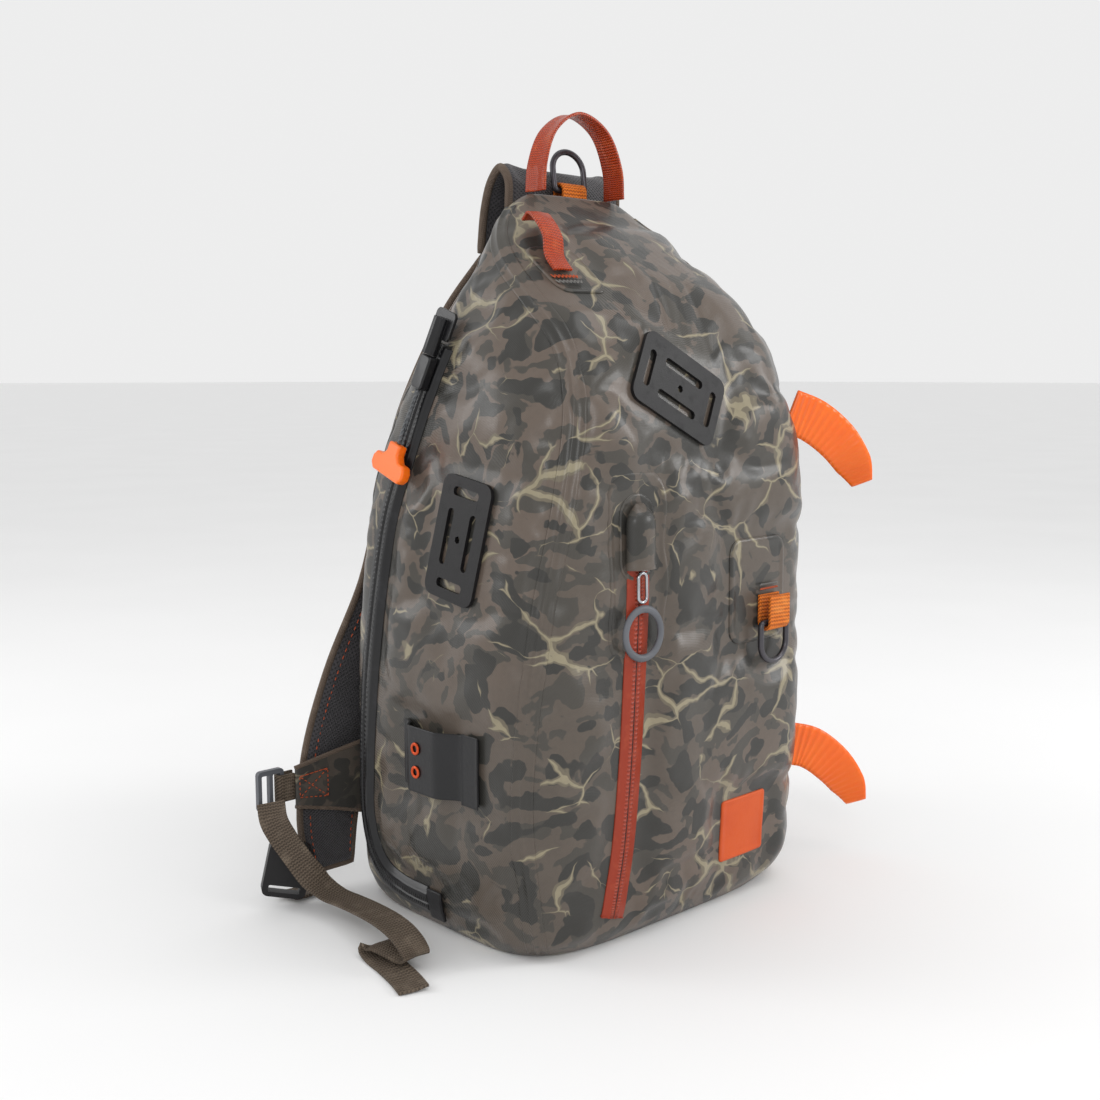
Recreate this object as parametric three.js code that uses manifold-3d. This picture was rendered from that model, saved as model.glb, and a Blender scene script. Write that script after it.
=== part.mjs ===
// Waterproof tackle backpack: a welded fabric shell with a long side zip, a front pocket zip,
// lash plates, rod straps, a top handle and a padded harness.
// Millimetres, +Z up. The pack faces -Y and its main zip is on its -X side.
// The origin is the middle of the flat base.
import * as THREE from "three";
import { mergeVertices } from "three/addons/utils/BufferGeometryUtils.js";
import Module from "manifold-3d";

const wasm = await Module();
wasm.setup();

// Driving dimensions of the shell.
const packHeight = 512;
const packWidth = 290;
const packDepth = 210;
const fabricThickness = 2;
const weldGap = 0.4; // between neighbouring fabric panels
const layGap = 0.8; // under whatever is welded or sewn on the shell
const touchGap = 0.3; // between other touching pieces

// Flat stock.
const webbingWidth = 20;
const webbingThickness = 2;
const patchThickness = 0.9;

// Main zip on the left side.
const mainTapeWidth = 9;
const mainTapeThickness = 1.8;
const mainSlotWidth = 5;
const mainSliderLength = 24;
const mainSliderWidth = 13;
const mainSliderThickness = 7;
const pullCordDiameter = 5;
const pullCordLength = 40;
const tPullStem = 24;
const tPullBar = 42;
const tPullThickness = 7;
const dockLength = 42;
const dockWidth = 24;

// Pocket zip on the front.
const pocketTapeWidth = 10;
const pocketTapeThickness = 1.6;
const pocketSlotWidth = 4;
const pocketDepth = 12;
const pocketSliderLength = 16;
const pocketSliderWidth = 9;
const pocketSliderThickness = 5;
const bailLength = 22;
const bailWidth = 10;
const wireDiameter = 2.4;
const pullRingDiameter = 38;
const pullRingBar = 5.5;
const garageLength = 44;
const garageWidth = 25;
const garageHeight = 9;

// Lash plates: one outline serves both.
const plateLength = 82;
const plateWidth = 50;
const plateThickness = 2.6;
const plateCorner = 8;
const slotWidth = 6;
const longSlotLength = 38;
const endSlotLength = 26;
const plateHoleRadius = 2.6;

// Tool sleeve.
const sleeveHeight = 46;
const sleeveSheet = 1.8;
const sleeveRoom = 9;
const grommetRadius = 4.4;
const grommetHoleRadius = 2.2;
const grommetThickness = 1.4;

// Rings, loops and handle.
const ringWidth = 36;
const ringHeight = 34;
const ringBar = 5;
const ringThickness = 4.5;
const handleSpan = 78;
const handleHeight = 56;
const lashLoopRise = 15;
const lashLoopWidth = 17;
const badgeWidth = 50;
const badgeHeight = 46;

// Rod straps on the right side.
const rodStrapWidth = 34;
const rodStrapThickness = 3.4;
const rodStrapReach = 58;
const rodStrapDroop = 54;

// Harness.
const padThickness = 11;
const yokeWidth = 116;
const yokeRise = 27; // fold above the top of the shell
const strapWidth = 60;
const strapThickness = 10;
const wingThickness = 3;
const ladderLockWidth = webbingWidth + 10;
const ladderLockThickness = 4;
const buckleWidth = webbingWidth + 12;
const buckleLength = 40;
const buckleThickness = 9;
const floorClearance = 1.2;

// Finishes.
const finishes = {
  camo: { color: 0x5f564d, roughness: 0.42, metalness: 0 },
  liner: { color: 0x4a4a47, roughness: 0.7, metalness: 0 },
  blackRubber: { color: 0x1c1b1d, roughness: 0.35, metalness: 0 },
  blackPlastic: { color: 0x2d2a2e, roughness: 0.5, metalness: 0 },
  rustZip: { color: 0xa03723, roughness: 0.4, metalness: 0 },
  rustWebbing: { color: 0xaf3214, roughness: 0.45, metalness: 0 },
  orangeRubber: { color: 0xf05a14, roughness: 0.4, metalness: 0 },
  orangeWebbing: { color: 0xe16e1e, roughness: 0.7, metalness: 0 },
  badgeOrange: { color: 0xd8501a, roughness: 0.5, metalness: 0 },
  greyPlastic: { color: 0x5f6269, roughness: 0.45, metalness: 0.1 },
  greyMetal: { color: 0x8c8f94, roughness: 0.3, metalness: 1 },
  rustMetal: { color: 0xc84b23, roughness: 0.4, metalness: 0.6 },
  strapFabric: { color: 0x3c3a3e, roughness: 0.85, metalness: 0 },
  brownWebbing: { color: 0x5c5044, roughness: 0.8, metalness: 0 },
};

const pack = new THREE.Group();

function bare(geometry) {
  const positions = geometry.clone();
  positions.deleteAttribute("normal");
  positions.deleteAttribute("uv");
  return mergeVertices(positions, 1e-4);
}

function solidOf(geometry) {
  const merged = bare(geometry);
  const vertProperties = new Float32Array(merged.attributes.position.array);
  const triVerts = new Uint32Array(merged.index.array);
  return new wasm.Manifold(new wasm.Mesh({ numProp: 3, vertProperties, triVerts }));
}

function geometryOf(solid) {
  const mesh = solid.getMesh();
  const geometry = new THREE.BufferGeometry();
  geometry.setAttribute("position", new THREE.BufferAttribute(mesh.vertProperties, 3));
  geometry.setIndex(new THREE.BufferAttribute(mesh.triVerts, 1));
  return geometry;
}

function cut(geometry, ...tools) {
  let solid = solidOf(geometry);
  for (const tool of tools) {
    solid = solid.subtract(solidOf(tool));
  }
  return geometryOf(solid);
}

function join(geometry, ...others) {
  let solid = solidOf(geometry);
  for (const other of others) {
    solid = solid.add(solidOf(other));
  }
  return geometryOf(solid);
}

function addPart(name, geometry, finish, matrix = null) {
  const material = new THREE.MeshStandardMaterial(finishes[finish]);
  const mesh = new THREE.Mesh(geometry, material);
  mesh.name = name;
  if (matrix) {
    mesh.applyMatrix4(matrix);
  }
  pack.add(mesh);
  return mesh;
}

// Turns the faces of a bent shape out if its bending turned them in.
function facingOut(geometry) {
  const position = geometry.attributes.position;
  const index = geometry.index;
  const corners = [new THREE.Vector3(), new THREE.Vector3(), new THREE.Vector3()];
  let volume = 0;
  for (let face = 0; face < index.count; face += 3) {
    corners.forEach((corner, i) => corner.fromBufferAttribute(position, index.getX(face + i)));
    volume += corners[0].dot(corners[1].clone().cross(corners[2]));
  }
  if (volume < 0) {
    const turned = [];
    for (let face = 0; face < index.count; face += 3) {
      turned.push(index.getX(face), index.getX(face + 2), index.getX(face + 1));
    }
    geometry.setIndex(turned);
  }
  return geometry;
}

// A gridded box whose points are moved by place(u, v, w), each 0 to 1.
function bentBox(columns, rows, place) {
  const geometry = bare(new THREE.BoxGeometry(1, 1, 1, columns, rows, 1));
  const position = geometry.attributes.position;
  for (let i = 0; i < position.count; i += 1) {
    const spot = place(position.getX(i) + 0.5, position.getY(i) + 0.5, position.getZ(i) + 0.5);
    position.setXYZ(i, spot.x, spot.y, spot.z);
  }
  return facingOut(geometry);
}

function mix(from, to, share) {
  return from + (to - from) * share;
}

// Places on the pack are given for its usual width and height, and move with them.
const usualWidth = 290;
const usualHeight = 512;
function wideAt(x) {
  return x * packWidth / usualWidth;
}
function highAt(z) {
  return z * packHeight / usualHeight;
}

// The shell's outline at each share of the height: its reach to the left, right, front and back
// as shares of half the width or depth, and how square its front and back corners are.
const bagStations = [
  { at: 0, left: 0.92, right: 0.89, front: 0.85, back: 0.91, frontCorner: 4.5, backCorner: 7 },
  { at: 0.025, left: 0.97, right: 0.95, front: 0.94, back: 0.98, frontCorner: 5, backCorner: 8 },
  { at: 0.1, left: 1.0, right: 0.98, front: 0.98, back: 1.0, frontCorner: 5.4, backCorner: 9 },
  { at: 0.25, left: 1.02, right: 1.0, front: 1.0, back: 1.01, frontCorner: 5.6, backCorner: 9 },
  { at: 0.42, left: 1.0, right: 1.02, front: 1.0, back: 1.0, frontCorner: 5.2, backCorner: 9 },
  { at: 0.56, left: 0.95, right: 1.035, front: 0.99, back: 0.98, frontCorner: 5, backCorner: 8 },
  { at: 0.64, left: 0.9, right: 1.01, front: 0.98, back: 0.93, frontCorner: 4.6, backCorner: 7 },
  { at: 0.72, left: 0.86, right: 0.955, front: 0.95, back: 0.82, frontCorner: 4, backCorner: 5.5 },
  { at: 0.79, left: 0.805, right: 0.9, front: 0.875, back: 0.68, frontCorner: 3.4, backCorner: 4.4 },
  { at: 0.84, left: 0.73, right: 0.82, front: 0.73, back: 0.57, frontCorner: 2.9, backCorner: 3.6 },
  { at: 0.88, left: 0.66, right: 0.74, front: 0.53, back: 0.46, frontCorner: 2.6, backCorner: 3.2 },
  { at: 0.92, left: 0.58, right: 0.63, front: 0.3, back: 0.39, frontCorner: 2.5, backCorner: 3 },
  { at: 0.957, left: 0.49, right: 0.52, front: 0.08, back: 0.33, frontCorner: 2.5, backCorner: 3 },
  { at: 0.983, left: 0.4, right: 0.41, front: -0.05, back: 0.28, frontCorner: 2.5, backCorner: 2.8 },
  { at: 1, left: 0.3, right: 0.3, front: -0.12, back: 0.21, frontCorner: 2.5, backCorner: 2.6 },
];

const bagShape = new THREE.CubicInterpolant(
  bagStations.map((station) => station.at),
  bagStations.flatMap(({ left, right, front, back, frontCorner, backCorner }) => [
    left, right, front, back, frontCorner, backCorner,
  ]),
  6,
);

function sectionAt(z) {
  const share = Math.min(Math.max(z / packHeight, 0), 1);
  const [left, right, front, back, frontCorner, backCorner] = bagShape.evaluate(share);
  return {
    centreX: (right - left) * packWidth / 4,
    centreY: (back - front) * packDepth / 4,
    halfWidth: (right + left) * packWidth / 4,
    halfDepth: (back + front) * packDepth / 4,
    frontCorner,
    backCorner,
  };
}

function onSection(angle, z) {
  const section = sectionAt(z);
  const across = Math.cos(angle);
  const along = Math.sin(angle);
  const power = along < 0 ? section.frontCorner : section.backCorner;
  const shareX = Math.pow(Math.abs(across) / section.halfWidth, power);
  const shareY = Math.pow(Math.abs(along) / section.halfDepth, power);
  const reach = Math.pow(shareX + shareY, -1 / power);
  return new THREE.Vector3(section.centreX + reach * across, section.centreY + reach * along, z);
}

function bagNormal(angle, z) {
  const turn = 0.004;
  const step = 0.6;
  const around = onSection(angle + turn, z).sub(onSection(angle - turn, z));
  const low = Math.max(z - step, 0);
  const high = Math.min(z + step, packHeight);
  const up = onSection(angle, high).sub(onSection(angle, low));
  return around.cross(up).normalize();
}

// A point of the shell's surface, moved out along its normal.
function onBag(angle, z, out = 0) {
  return onSection(angle, z).addScaledVector(bagNormal(angle, z), out);
}

function angleOf(point) {
  const section = sectionAt(point.z);
  return Math.atan2(point.y - section.centreY, point.x - section.centreX);
}

function snapped(point, out = 0) {
  return onBag(angleOf(point), point.z, out);
}

// Surface points by place on one face: across is x on the front and back, y on the sides.
function onFace(face, across, z, out = 0) {
  const section = sectionAt(z);
  const facesY = face === "front" || face === "back";
  const half = facesY ? section.halfWidth : section.halfDepth;
  const other = facesY ? section.halfDepth : section.halfWidth;
  const centre = facesY ? section.centreX : section.centreY;
  const towardsFront = face === "front" || (!facesY && across < section.centreY);
  const power = towardsFront ? section.frontCorner : section.backCorner;
  const share = Math.min(Math.abs(across - centre) / half, 0.999);
  const reach = other * Math.pow(1 - Math.pow(share, power), 1 / power);
  const point = facesY
    ? new THREE.Vector3(across, section.centreY + (face === "front" ? -reach : reach), z)
    : new THREE.Vector3(section.centreX + (face === "left" ? -reach : reach), across, z);
  return snapped(point, out);
}

function faceSheet(face, from, to, low, high, inner, outer, columns, rows) {
  return bentBox(columns, rows, (u, v, w) =>
    onFace(face, mix(from, to, u), mix(low, high, v), mix(inner, outer, w)));
}

// A flat strip that follows the shell along a route of points near its surface.
function ribbonOnBag(route, from, to, inner, outer, steps, columns = 1) {
  return bentBox(columns, steps, (u, v, w) => {
    const spot = snapped(route.getPointAt(v));
    const normal = bagNormal(angleOf(spot), spot.z);
    const ahead = snapped(route.getPointAt(Math.min(v + 0.01, 1)));
    const behind = snapped(route.getPointAt(Math.max(v - 0.01, 0)));
    const across = ahead.sub(behind).normalize().cross(normal).normalize();
    return snapped(spot.addScaledVector(across, mix(from, to, u)), mix(inner, outer, w));
  });
}

function routeThrough(...points) {
  return new THREE.CatmullRomCurve3(points.map((point) => new THREE.Vector3(...point)));
}

// A free strip of webbing or padding along a route. Its width runs along the given directions,
// and both they and the widths are given for each point of the route.
function strip(points, directions, widths, thickness, steps) {
  const route = routeThrough(...points);
  const spreads = routeThrough(...directions);
  const spans = routeThrough(...widths.map((width) => [width, 0, 0]));
  return bentBox(1, steps, (u, v, w) => {
    const tangent = route.getTangent(v);
    const across = spreads.getPoint(v);
    across.addScaledVector(tangent, -across.dot(tangent)).normalize();
    const facing = tangent.clone().cross(across);
    return route.getPoint(v)
      .addScaledVector(across, (u - 0.5) * spans.getPoint(v).x)
      .addScaledVector(facing, (w - 0.5) * thickness);
  });
}

function evenStrip(points, across, width, thickness, steps) {
  return strip(points, points.map(() => across), points.map(() => width), thickness, steps);
}

function roundedOutline(width, height, corner, centreX = 0, centreY = 0) {
  const outline = new THREE.Shape();
  const right = centreX + width / 2;
  const top = centreY + height / 2;
  const left = centreX - width / 2;
  const bottom = centreY - height / 2;
  outline.moveTo(left + corner, bottom);
  outline.lineTo(right - corner, bottom);
  outline.absarc(right - corner, bottom + corner, corner, -Math.PI / 2, 0);
  outline.lineTo(right, top - corner);
  outline.absarc(right - corner, top - corner, corner, 0, Math.PI / 2);
  outline.lineTo(left + corner, top);
  outline.absarc(left + corner, top - corner, corner, Math.PI / 2, Math.PI);
  outline.lineTo(left, bottom + corner);
  outline.absarc(left + corner, bottom + corner, corner, Math.PI, 1.5 * Math.PI);
  return outline;
}

function plate(outline, thickness, segments = 4) {
  return new THREE.ExtrudeGeometry(outline, {
    depth: thickness,
    bevelEnabled: false,
    curveSegments: segments,
  });
}

// Places a flat piece: its +Z along the normal, its +Y as near the given up as it can be,
// then turned about the normal.
function placed(centre, normal, up, turn = 0) {
  const outward = normal.clone().normalize();
  const side = up.clone().cross(outward).normalize();
  const rise = outward.clone().cross(side);
  const matrix = new THREE.Matrix4().makeBasis(side, rise, outward);
  matrix.multiply(new THREE.Matrix4().makeRotationZ(turn));
  matrix.setPosition(centre);
  return matrix;
}

function placedOnFace(face, across, z, out, turn = 0) {
  const spot = onFace(face, across, z);
  const normal = bagNormal(angleOf(spot), spot.z);
  return placed(spot.addScaledVector(normal, out), normal, new THREE.Vector3(0, 0, 1), turn);
}

function degrees(value) {
  return THREE.MathUtils.degToRad(value);
}

// Places of the shell's seams, as turns about each section's middle by share of the height.
function seamCurve(...stops) {
  const seam = new THREE.CubicInterpolant(
    stops.map(([share]) => share),
    stops.map(([, turn]) => degrees(turn)),
    1,
  );
  return (z) => seam.evaluate(Math.min(Math.max(z / packHeight, 0), 1))[0];
}

const panelTop = packHeight * 0.975;
const frontLeftSeam = seamCurve([0, 214], [0.2, 211], [0.45, 214], [0.6, 217], [0.74, 216],
  [0.8, 210], [0.85, 199], [0.9, 186], [0.94, 179], [0.98, 177]);
const frontRightSeam = seamCurve([0, 334], [0.45, 333], [0.74, 332], [0.85, 343], [0.98, 358]);
const rearRightSeam = seamCurve([0, 37], [0.6, 36], [0.8, 30], [0.98, 14]);
const rearLeftSeam = seamCurve([0, 143], [0.6, 144], [0.8, 150], [0.98, 164]);
const zipSeam = seamCurve([0, 150], [0.15, 150.5], [0.28, 152.5], [0.46, 155.5], [0.6, 158],
  [0.73, 162.5], [0.8, 166], [0.9, 171], [0.98, 174]);

function seamShift(angle, z) {
  const spot = onSection(angle, z);
  const section = sectionAt(z);
  return weldGap / Math.hypot(spot.x - section.centreX, spot.y - section.centreY);
}

function panelBetween(fromSeam, toSeam, columns, rows, extraTurn = 0) {
  return bentBox(columns, rows, (u, v, w) => {
    const z = panelTop * v;
    const from = fromSeam(z) + seamShift(fromSeam(z), z);
    const to = toSeam(z) + extraTurn - seamShift(toSeam(z), z);
    return onBag(mix(from, to, u), z, (w - 1) * fabricThickness);
  });
}

// Routes of the zips.
const mainZipRoute = routeThrough(
  ...[0.79, 0.72, 0.64, 0.56, 0.47, 0.37, 0.28, 0.2, 0.135].map((share) => {
    const z = packHeight * share;
    return onSection(zipSeam(z), z).toArray();
  }),
  onFace("left", packDepth * 0.36, packHeight * 0.085).toArray(),
  onFace("left", packDepth * 0.29, packHeight * 0.055).toArray(),
  onFace("left", packDepth * 0.18, packHeight * 0.042).toArray(),
  onFace("left", packDepth * 0.05, packHeight * 0.04).toArray(),
);
const mainSlotRoute = routeThrough(
  ...[0.78, 0.7, 0.62, 0.54, 0.46, 0.38, 0.3, 0.22, 0.15].map((share) => {
    const z = packHeight * share;
    return onSection(zipSeam(z), z).toArray();
  }),
);
const pocketZipTop = highAt(286);
const pocketZipBottom = highAt(26);
const pocketZipRoute = routeThrough(
  [wideAt(-58), -packDepth / 2, pocketZipTop],
  [wideAt(-58), -packDepth / 2, highAt(240)],
  [wideAt(-61), -packDepth / 2, highAt(180)],
  [wideAt(-65), -packDepth / 2, highAt(120)],
  [wideAt(-71), -packDepth / 2, highAt(65)],
  [wideAt(-79), -packDepth / 2, pocketZipBottom],
);

// Shell panels.
const mainSlot = ribbonOnBag(mainSlotRoute, -mainSlotWidth / 2, mainSlotWidth / 2, -8, 8, 24);
const pocketSlot = ribbonOnBag(pocketZipRoute, -pocketSlotWidth / 2, pocketSlotWidth / 2, -8, 8, 12);
const fullTurn = 2 * Math.PI;
addPart("front_panel", cut(panelBetween(frontLeftSeam, frontRightSeam, 16, 20), pocketSlot), "camo");
addPart("left_side_panel", cut(panelBetween(zipSeam, frontLeftSeam, 8, 20), mainSlot), "camo");
addPart("rear_gusset", cut(panelBetween(rearLeftSeam, zipSeam, 2, 20), mainSlot), "camo");
addPart("back_panel", panelBetween(rearRightSeam, rearLeftSeam, 12, 20), "camo");
addPart("right_side_panel", panelBetween(frontRightSeam, rearRightSeam, 9, 20, fullTurn), "camo");

function sectionOutline(z, inset, points) {
  const corners = [];
  for (let i = 0; i < points; i += 1) {
    const angle = fullTurn * i / points;
    const spot = onSection(angle, z);
    const normal = bagNormal(angle, z).setZ(0).normalize();
    corners.push(new THREE.Vector2(spot.x - normal.x * inset, spot.y - normal.y * inset));
  }
  return new THREE.Shape(corners);
}

const baseInset = fabricThickness * 1.6;
addPart("base_panel", plate(sectionOutline(0, baseInset, 48), fabricThickness), "camo");

function topRidge() {
  const points = 28;
  const geometry = bare(plate(new THREE.Shape(
    Array.from({ length: points }, (_, i) => new THREE.Vector2(
      Math.cos(fullTurn * i / points), Math.sin(fullTurn * i / points))),
  ), 1));
  const position = geometry.attributes.position;
  const foot = panelTop + weldGap;
  for (let i = 0; i < position.count; i += 1) {
    const angle = Math.atan2(position.getY(i), position.getX(i));
    const spot = onSection(angle, mix(foot, packHeight, position.getZ(i)));
    position.setXYZ(i, spot.x, spot.y, spot.z);
  }
  return facingOut(geometry);
}
addPart("top_ridge", topRidge(), "camo");

// Inside the shell.
const insideGap = fabricThickness + 3.4;
const stiffenerHalf = wideAt(88);
const stiffener = faceSheet("back", -stiffenerHalf, stiffenerHalf, highAt(40), highAt(420),
  -insideGap - 1.6, -insideGap, 8, 8);
addPart("back_stiffener", stiffener, "liner");
const slipPocketOut = -insideGap - 1.6 - layGap;
const slipPocketHalf = wideAt(70);
const slipPocket = faceSheet("back", -slipPocketHalf, slipPocketHalf, highAt(70), highAt(230),
  slipPocketOut - 3, slipPocketOut, 6, 4);
addPart("inner_slip_pocket", slipPocket, "liner");
const pocketLeft = wideAt(-112);
const pocketRight = wideAt(24);
const pocketLow = highAt(18);
const pocketHigh = highAt(298);
const linerWall = 1.2;
const pocketLiner = cut(
  faceSheet("front", pocketLeft, pocketRight, pocketLow, pocketHigh,
    -insideGap - pocketDepth, -insideGap, 8, 10),
  faceSheet("front", pocketLeft + linerWall, pocketRight - linerWall,
    pocketLow + linerWall, pocketHigh - linerWall,
    -insideGap - pocketDepth + linerWall, -insideGap + 3, 8, 10),
);
addPart("front_pocket_liner", pocketLiner, "liner");

// Main zip.
const tapeTop = layGap + mainTapeThickness;
addPart("main_zip_front_tape",
  ribbonOnBag(mainZipRoute, touchGap, mainTapeWidth + 3, layGap, tapeTop, 40), "blackRubber");
addPart("main_zip_rear_tape",
  ribbonOnBag(mainZipRoute, -mainTapeWidth, -touchGap, layGap, tapeTop, 40), "blackRubber");

// The slider and its pull keep to the straight upper stretch of the zip.
const sliderLift = tapeTop + 1;
const sliderHeight = packHeight * 0.752;
const sliderTravelHeight = packHeight * 0.566;
const sliderSeat = onSection(zipSeam(sliderHeight), sliderHeight);
const sliderFar = onSection(zipSeam(sliderTravelHeight), sliderTravelHeight);
const sliderNormal = bagNormal(angleOf(sliderSeat), sliderHeight);
const sliderUp = sliderSeat.clone().sub(sliderFar).normalize();
const sliderOrigin = sliderSeat.clone().addScaledVector(sliderNormal, sliderLift);
const sliderFrame = placed(sliderOrigin, sliderNormal, sliderUp);
addPart("main_zip_slider",
  plate(roundedOutline(mainSliderWidth, mainSliderLength, 3), mainSliderThickness, 3),
  "blackRubber", sliderFrame);

function tube(points, diameter, steps, sides = 8) {
  const section = new THREE.Shape(Array.from({ length: sides }, (_, i) => new THREE.Vector2(
    Math.cos(fullTurn * i / sides) * diameter / 2, Math.sin(fullTurn * i / sides) * diameter / 2)));
  return new THREE.ExtrudeGeometry(section, { steps, extrudePath: routeThrough(...points) });
}

const cordTop = -mainSliderLength / 2 - touchGap;
const cordEnd = cordTop - pullCordLength;
const pullMiddle = mainSliderThickness / 2;
addPart("main_zip_pull_cord",
  tube([[0, cordTop, pullMiddle], [0, (cordTop + cordEnd) / 2, pullMiddle], [0, cordEnd, pullMiddle]],
    pullCordDiameter, 3),
  "greyPlastic", sliderFrame);

function tPullOutline() {
  const top = cordEnd - touchGap;
  const barTop = top - tPullStem * 0.45;
  const bottom = top - tPullStem;
  const stem = 7;
  const end = tPullBar / 2;
  return new THREE.Shape([
    [-stem, top], [-stem, barTop + 4], [-stem - 4, barTop], [-end + 3, barTop], [-end, barTop - 4],
    [-end, bottom + 4], [-end + 4, bottom], [end - 4, bottom], [end, bottom + 4], [end, barTop - 4],
    [end - 3, barTop], [stem + 4, barTop], [stem, barTop + 4], [stem, top],
  ].map(([x, y]) => new THREE.Vector2(x, y)));
}
addPart("main_zip_t_pull", plate(tPullOutline(), tPullThickness), "orangeRubber", sliderFrame);

// The dock covers the top end of the zip, just above the parked slider.
const dockFoot = mainSliderLength / 2 + touchGap + 0.6;
const dockFlange = plate(roundedOutline(dockWidth, dockLength - 22, 4, 0, dockFoot + 22), 2.2, 3);
const dockTube = new THREE.CylinderGeometry(5.4, 5.4, 26, 10);
dockTube.rotateY(Math.PI / 10);
dockTube.translate(0, dockFoot + 13, 4.6);
addPart("main_zip_dock", join(dockFlange, dockTube), "blackRubber", sliderFrame);
const zipEndY = packDepth * 0.05;
addPart("main_zip_end_stop",
  faceSheet("left", zipEndY - 16, zipEndY - 0.8, 11, 32, layGap, layGap + 2.4, 2, 3), "blackRubber");

// Pocket zip.
const pocketTapeTop = layGap + pocketTapeThickness;
addPart("pocket_zip_left_tape",
  ribbonOnBag(pocketZipRoute, touchGap, pocketTapeWidth, layGap, pocketTapeTop, 14), "rustZip");
addPart("pocket_zip_right_tape",
  ribbonOnBag(pocketZipRoute, -pocketTapeWidth, -touchGap, layGap, pocketTapeTop, 14), "rustZip");
const garageX = wideAt(-58);
const garageFoot = highAt(259);
const pocketLift = pocketTapeTop + 1.5;
const pocketSliderSeat = garageFoot + pocketSliderLength / 2 - 1;
const pocketFrame = placedOnFace("front", garageX, pocketSliderSeat, pocketLift, 0);
addPart("pocket_zip_slider",
  plate(roundedOutline(pocketSliderWidth, pocketSliderLength, 2.5), pocketSliderThickness, 3),
  "greyMetal", pocketFrame);

function flatRing(width, height, bar, thickness, corner, centreY, segments = 4) {
  const outline = roundedOutline(width, height, corner, 0, centreY);
  const inner = Math.max(corner - bar, 0.6);
  outline.holes.push(roundedOutline(width - 2 * bar, height - 2 * bar, inner, 0, centreY));
  return plate(outline, thickness, segments);
}
const bailTop = -pocketSliderLength / 2 - touchGap;
addPart("pocket_slider_bail",
  flatRing(bailWidth, bailLength, wireDiameter, wireDiameter, 4, bailTop - bailLength / 2, 3),
  "greyMetal", pocketFrame);
const ringTop = bailTop - bailLength - touchGap;
addPart("pocket_pull_ring",
  flatRing(pullRingDiameter, pullRingDiameter, pullRingBar, 3.6, pullRingDiameter / 2 - 0.1,
    ringTop - pullRingDiameter / 2, 6),
  "greyPlastic", pocketFrame);

function archOutline(width, height) {
  const outline = new THREE.Shape();
  outline.moveTo(-width / 2, 0);
  outline.lineTo(width / 2, 0);
  outline.absellipse(0, 0, width / 2, height, 0, Math.PI, false);
  return outline;
}
function garage() {
  const wall = 1.6;
  const outer = plate(archOutline(garageWidth, garageHeight), garageLength, 8);
  const inner = plate(archOutline(garageWidth - 2 * wall, garageHeight - wall), garageLength, 8);
  inner.translate(0, -0.5, -garageLength * 0.3);
  const opened = cut(outer, inner);
  opened.rotateX(Math.PI / 2);
  opened.scale(1, -1, 1);
  return facingOut(opened);
}
const garageMatrix = placedOnFace("front", garageX, garageFoot, pocketTapeTop + touchGap, 0);
addPart("pocket_zip_garage", garage(), "camo", garageMatrix);

// Lash plates.
function lashPlate() {
  const outline = roundedOutline(plateLength, plateWidth, plateCorner);
  for (const side of [-1, 1]) {
    outline.holes.push(roundedOutline(longSlotLength, slotWidth, slotWidth / 2 - 0.1, 0, side * 11.5));
    outline.holes.push(roundedOutline(slotWidth, endSlotLength, slotWidth / 2 - 0.1, side * 31, 0));
  }
  const hole = new THREE.Path();
  hole.absarc(0, 0, plateHoleRadius, 0, fullTurn);
  outline.holes.push(hole);
  return plate(outline, plateThickness, 3);
}
const upperPlateSpot = [wideAt(-15), highAt(375)];
const sidePlateSpot = [-22, highAt(277)];
addPart("upper_lash_plate", lashPlate(), "blackPlastic",
  placedOnFace("front", ...upperPlateSpot, layGap, degrees(-27.5)));
addPart("side_lash_plate", lashPlate(), "blackPlastic",
  placedOnFace("left", ...sidePlateSpot, layGap, degrees(81)));

// Tool sleeve on the left side: a flap that arches off the shell, open above and below.
const sleeveBack = 28;
const sleeveFront = -50;
const sleeveMiddle = highAt(127);
function sleeveArch(y) {
  const rise = THREE.MathUtils.smoothstep(-y, -24, -11);
  const fall = THREE.MathUtils.smoothstep(y, -33, -14);
  return sleeveRoom * rise * fall;
}
const sleeve = bentBox(18, 2, (u, v, w) => {
  const y = mix(sleeveBack, sleeveFront, u);
  const z = sleeveMiddle + (v - 0.5) * sleeveHeight;
  return onFace("left", y, z, layGap + sleeveArch(y) + w * sleeveSheet);
});
const grommetY = 3;
const grommetHeights = [sleeveMiddle - 8, sleeveMiddle + 8];
const grommetOut = layGap + sleeveRoom + sleeveSheet + touchGap;
const grommetHoles = grommetHeights.map((z) => {
  const hole = new THREE.CylinderGeometry(grommetHoleRadius, grommetHoleRadius, 12, 10);
  return hole.rotateX(Math.PI / 2).applyMatrix4(placedOnFace("left", grommetY, z, sleeveRoom));
});
addPart("tool_sleeve", cut(sleeve, ...grommetHoles), "blackRubber");
addPart("sleeve_weld_strip",
  faceSheet("left", sleeveFront - 1, sleeveFront + 15, sleeveMiddle - sleeveHeight / 2 - 1,
    sleeveMiddle + sleeveHeight / 2 + 1, layGap + sleeveSheet + touchGap,
    layGap + sleeveSheet + touchGap + patchThickness, 3, 2), "blackRubber");
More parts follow.
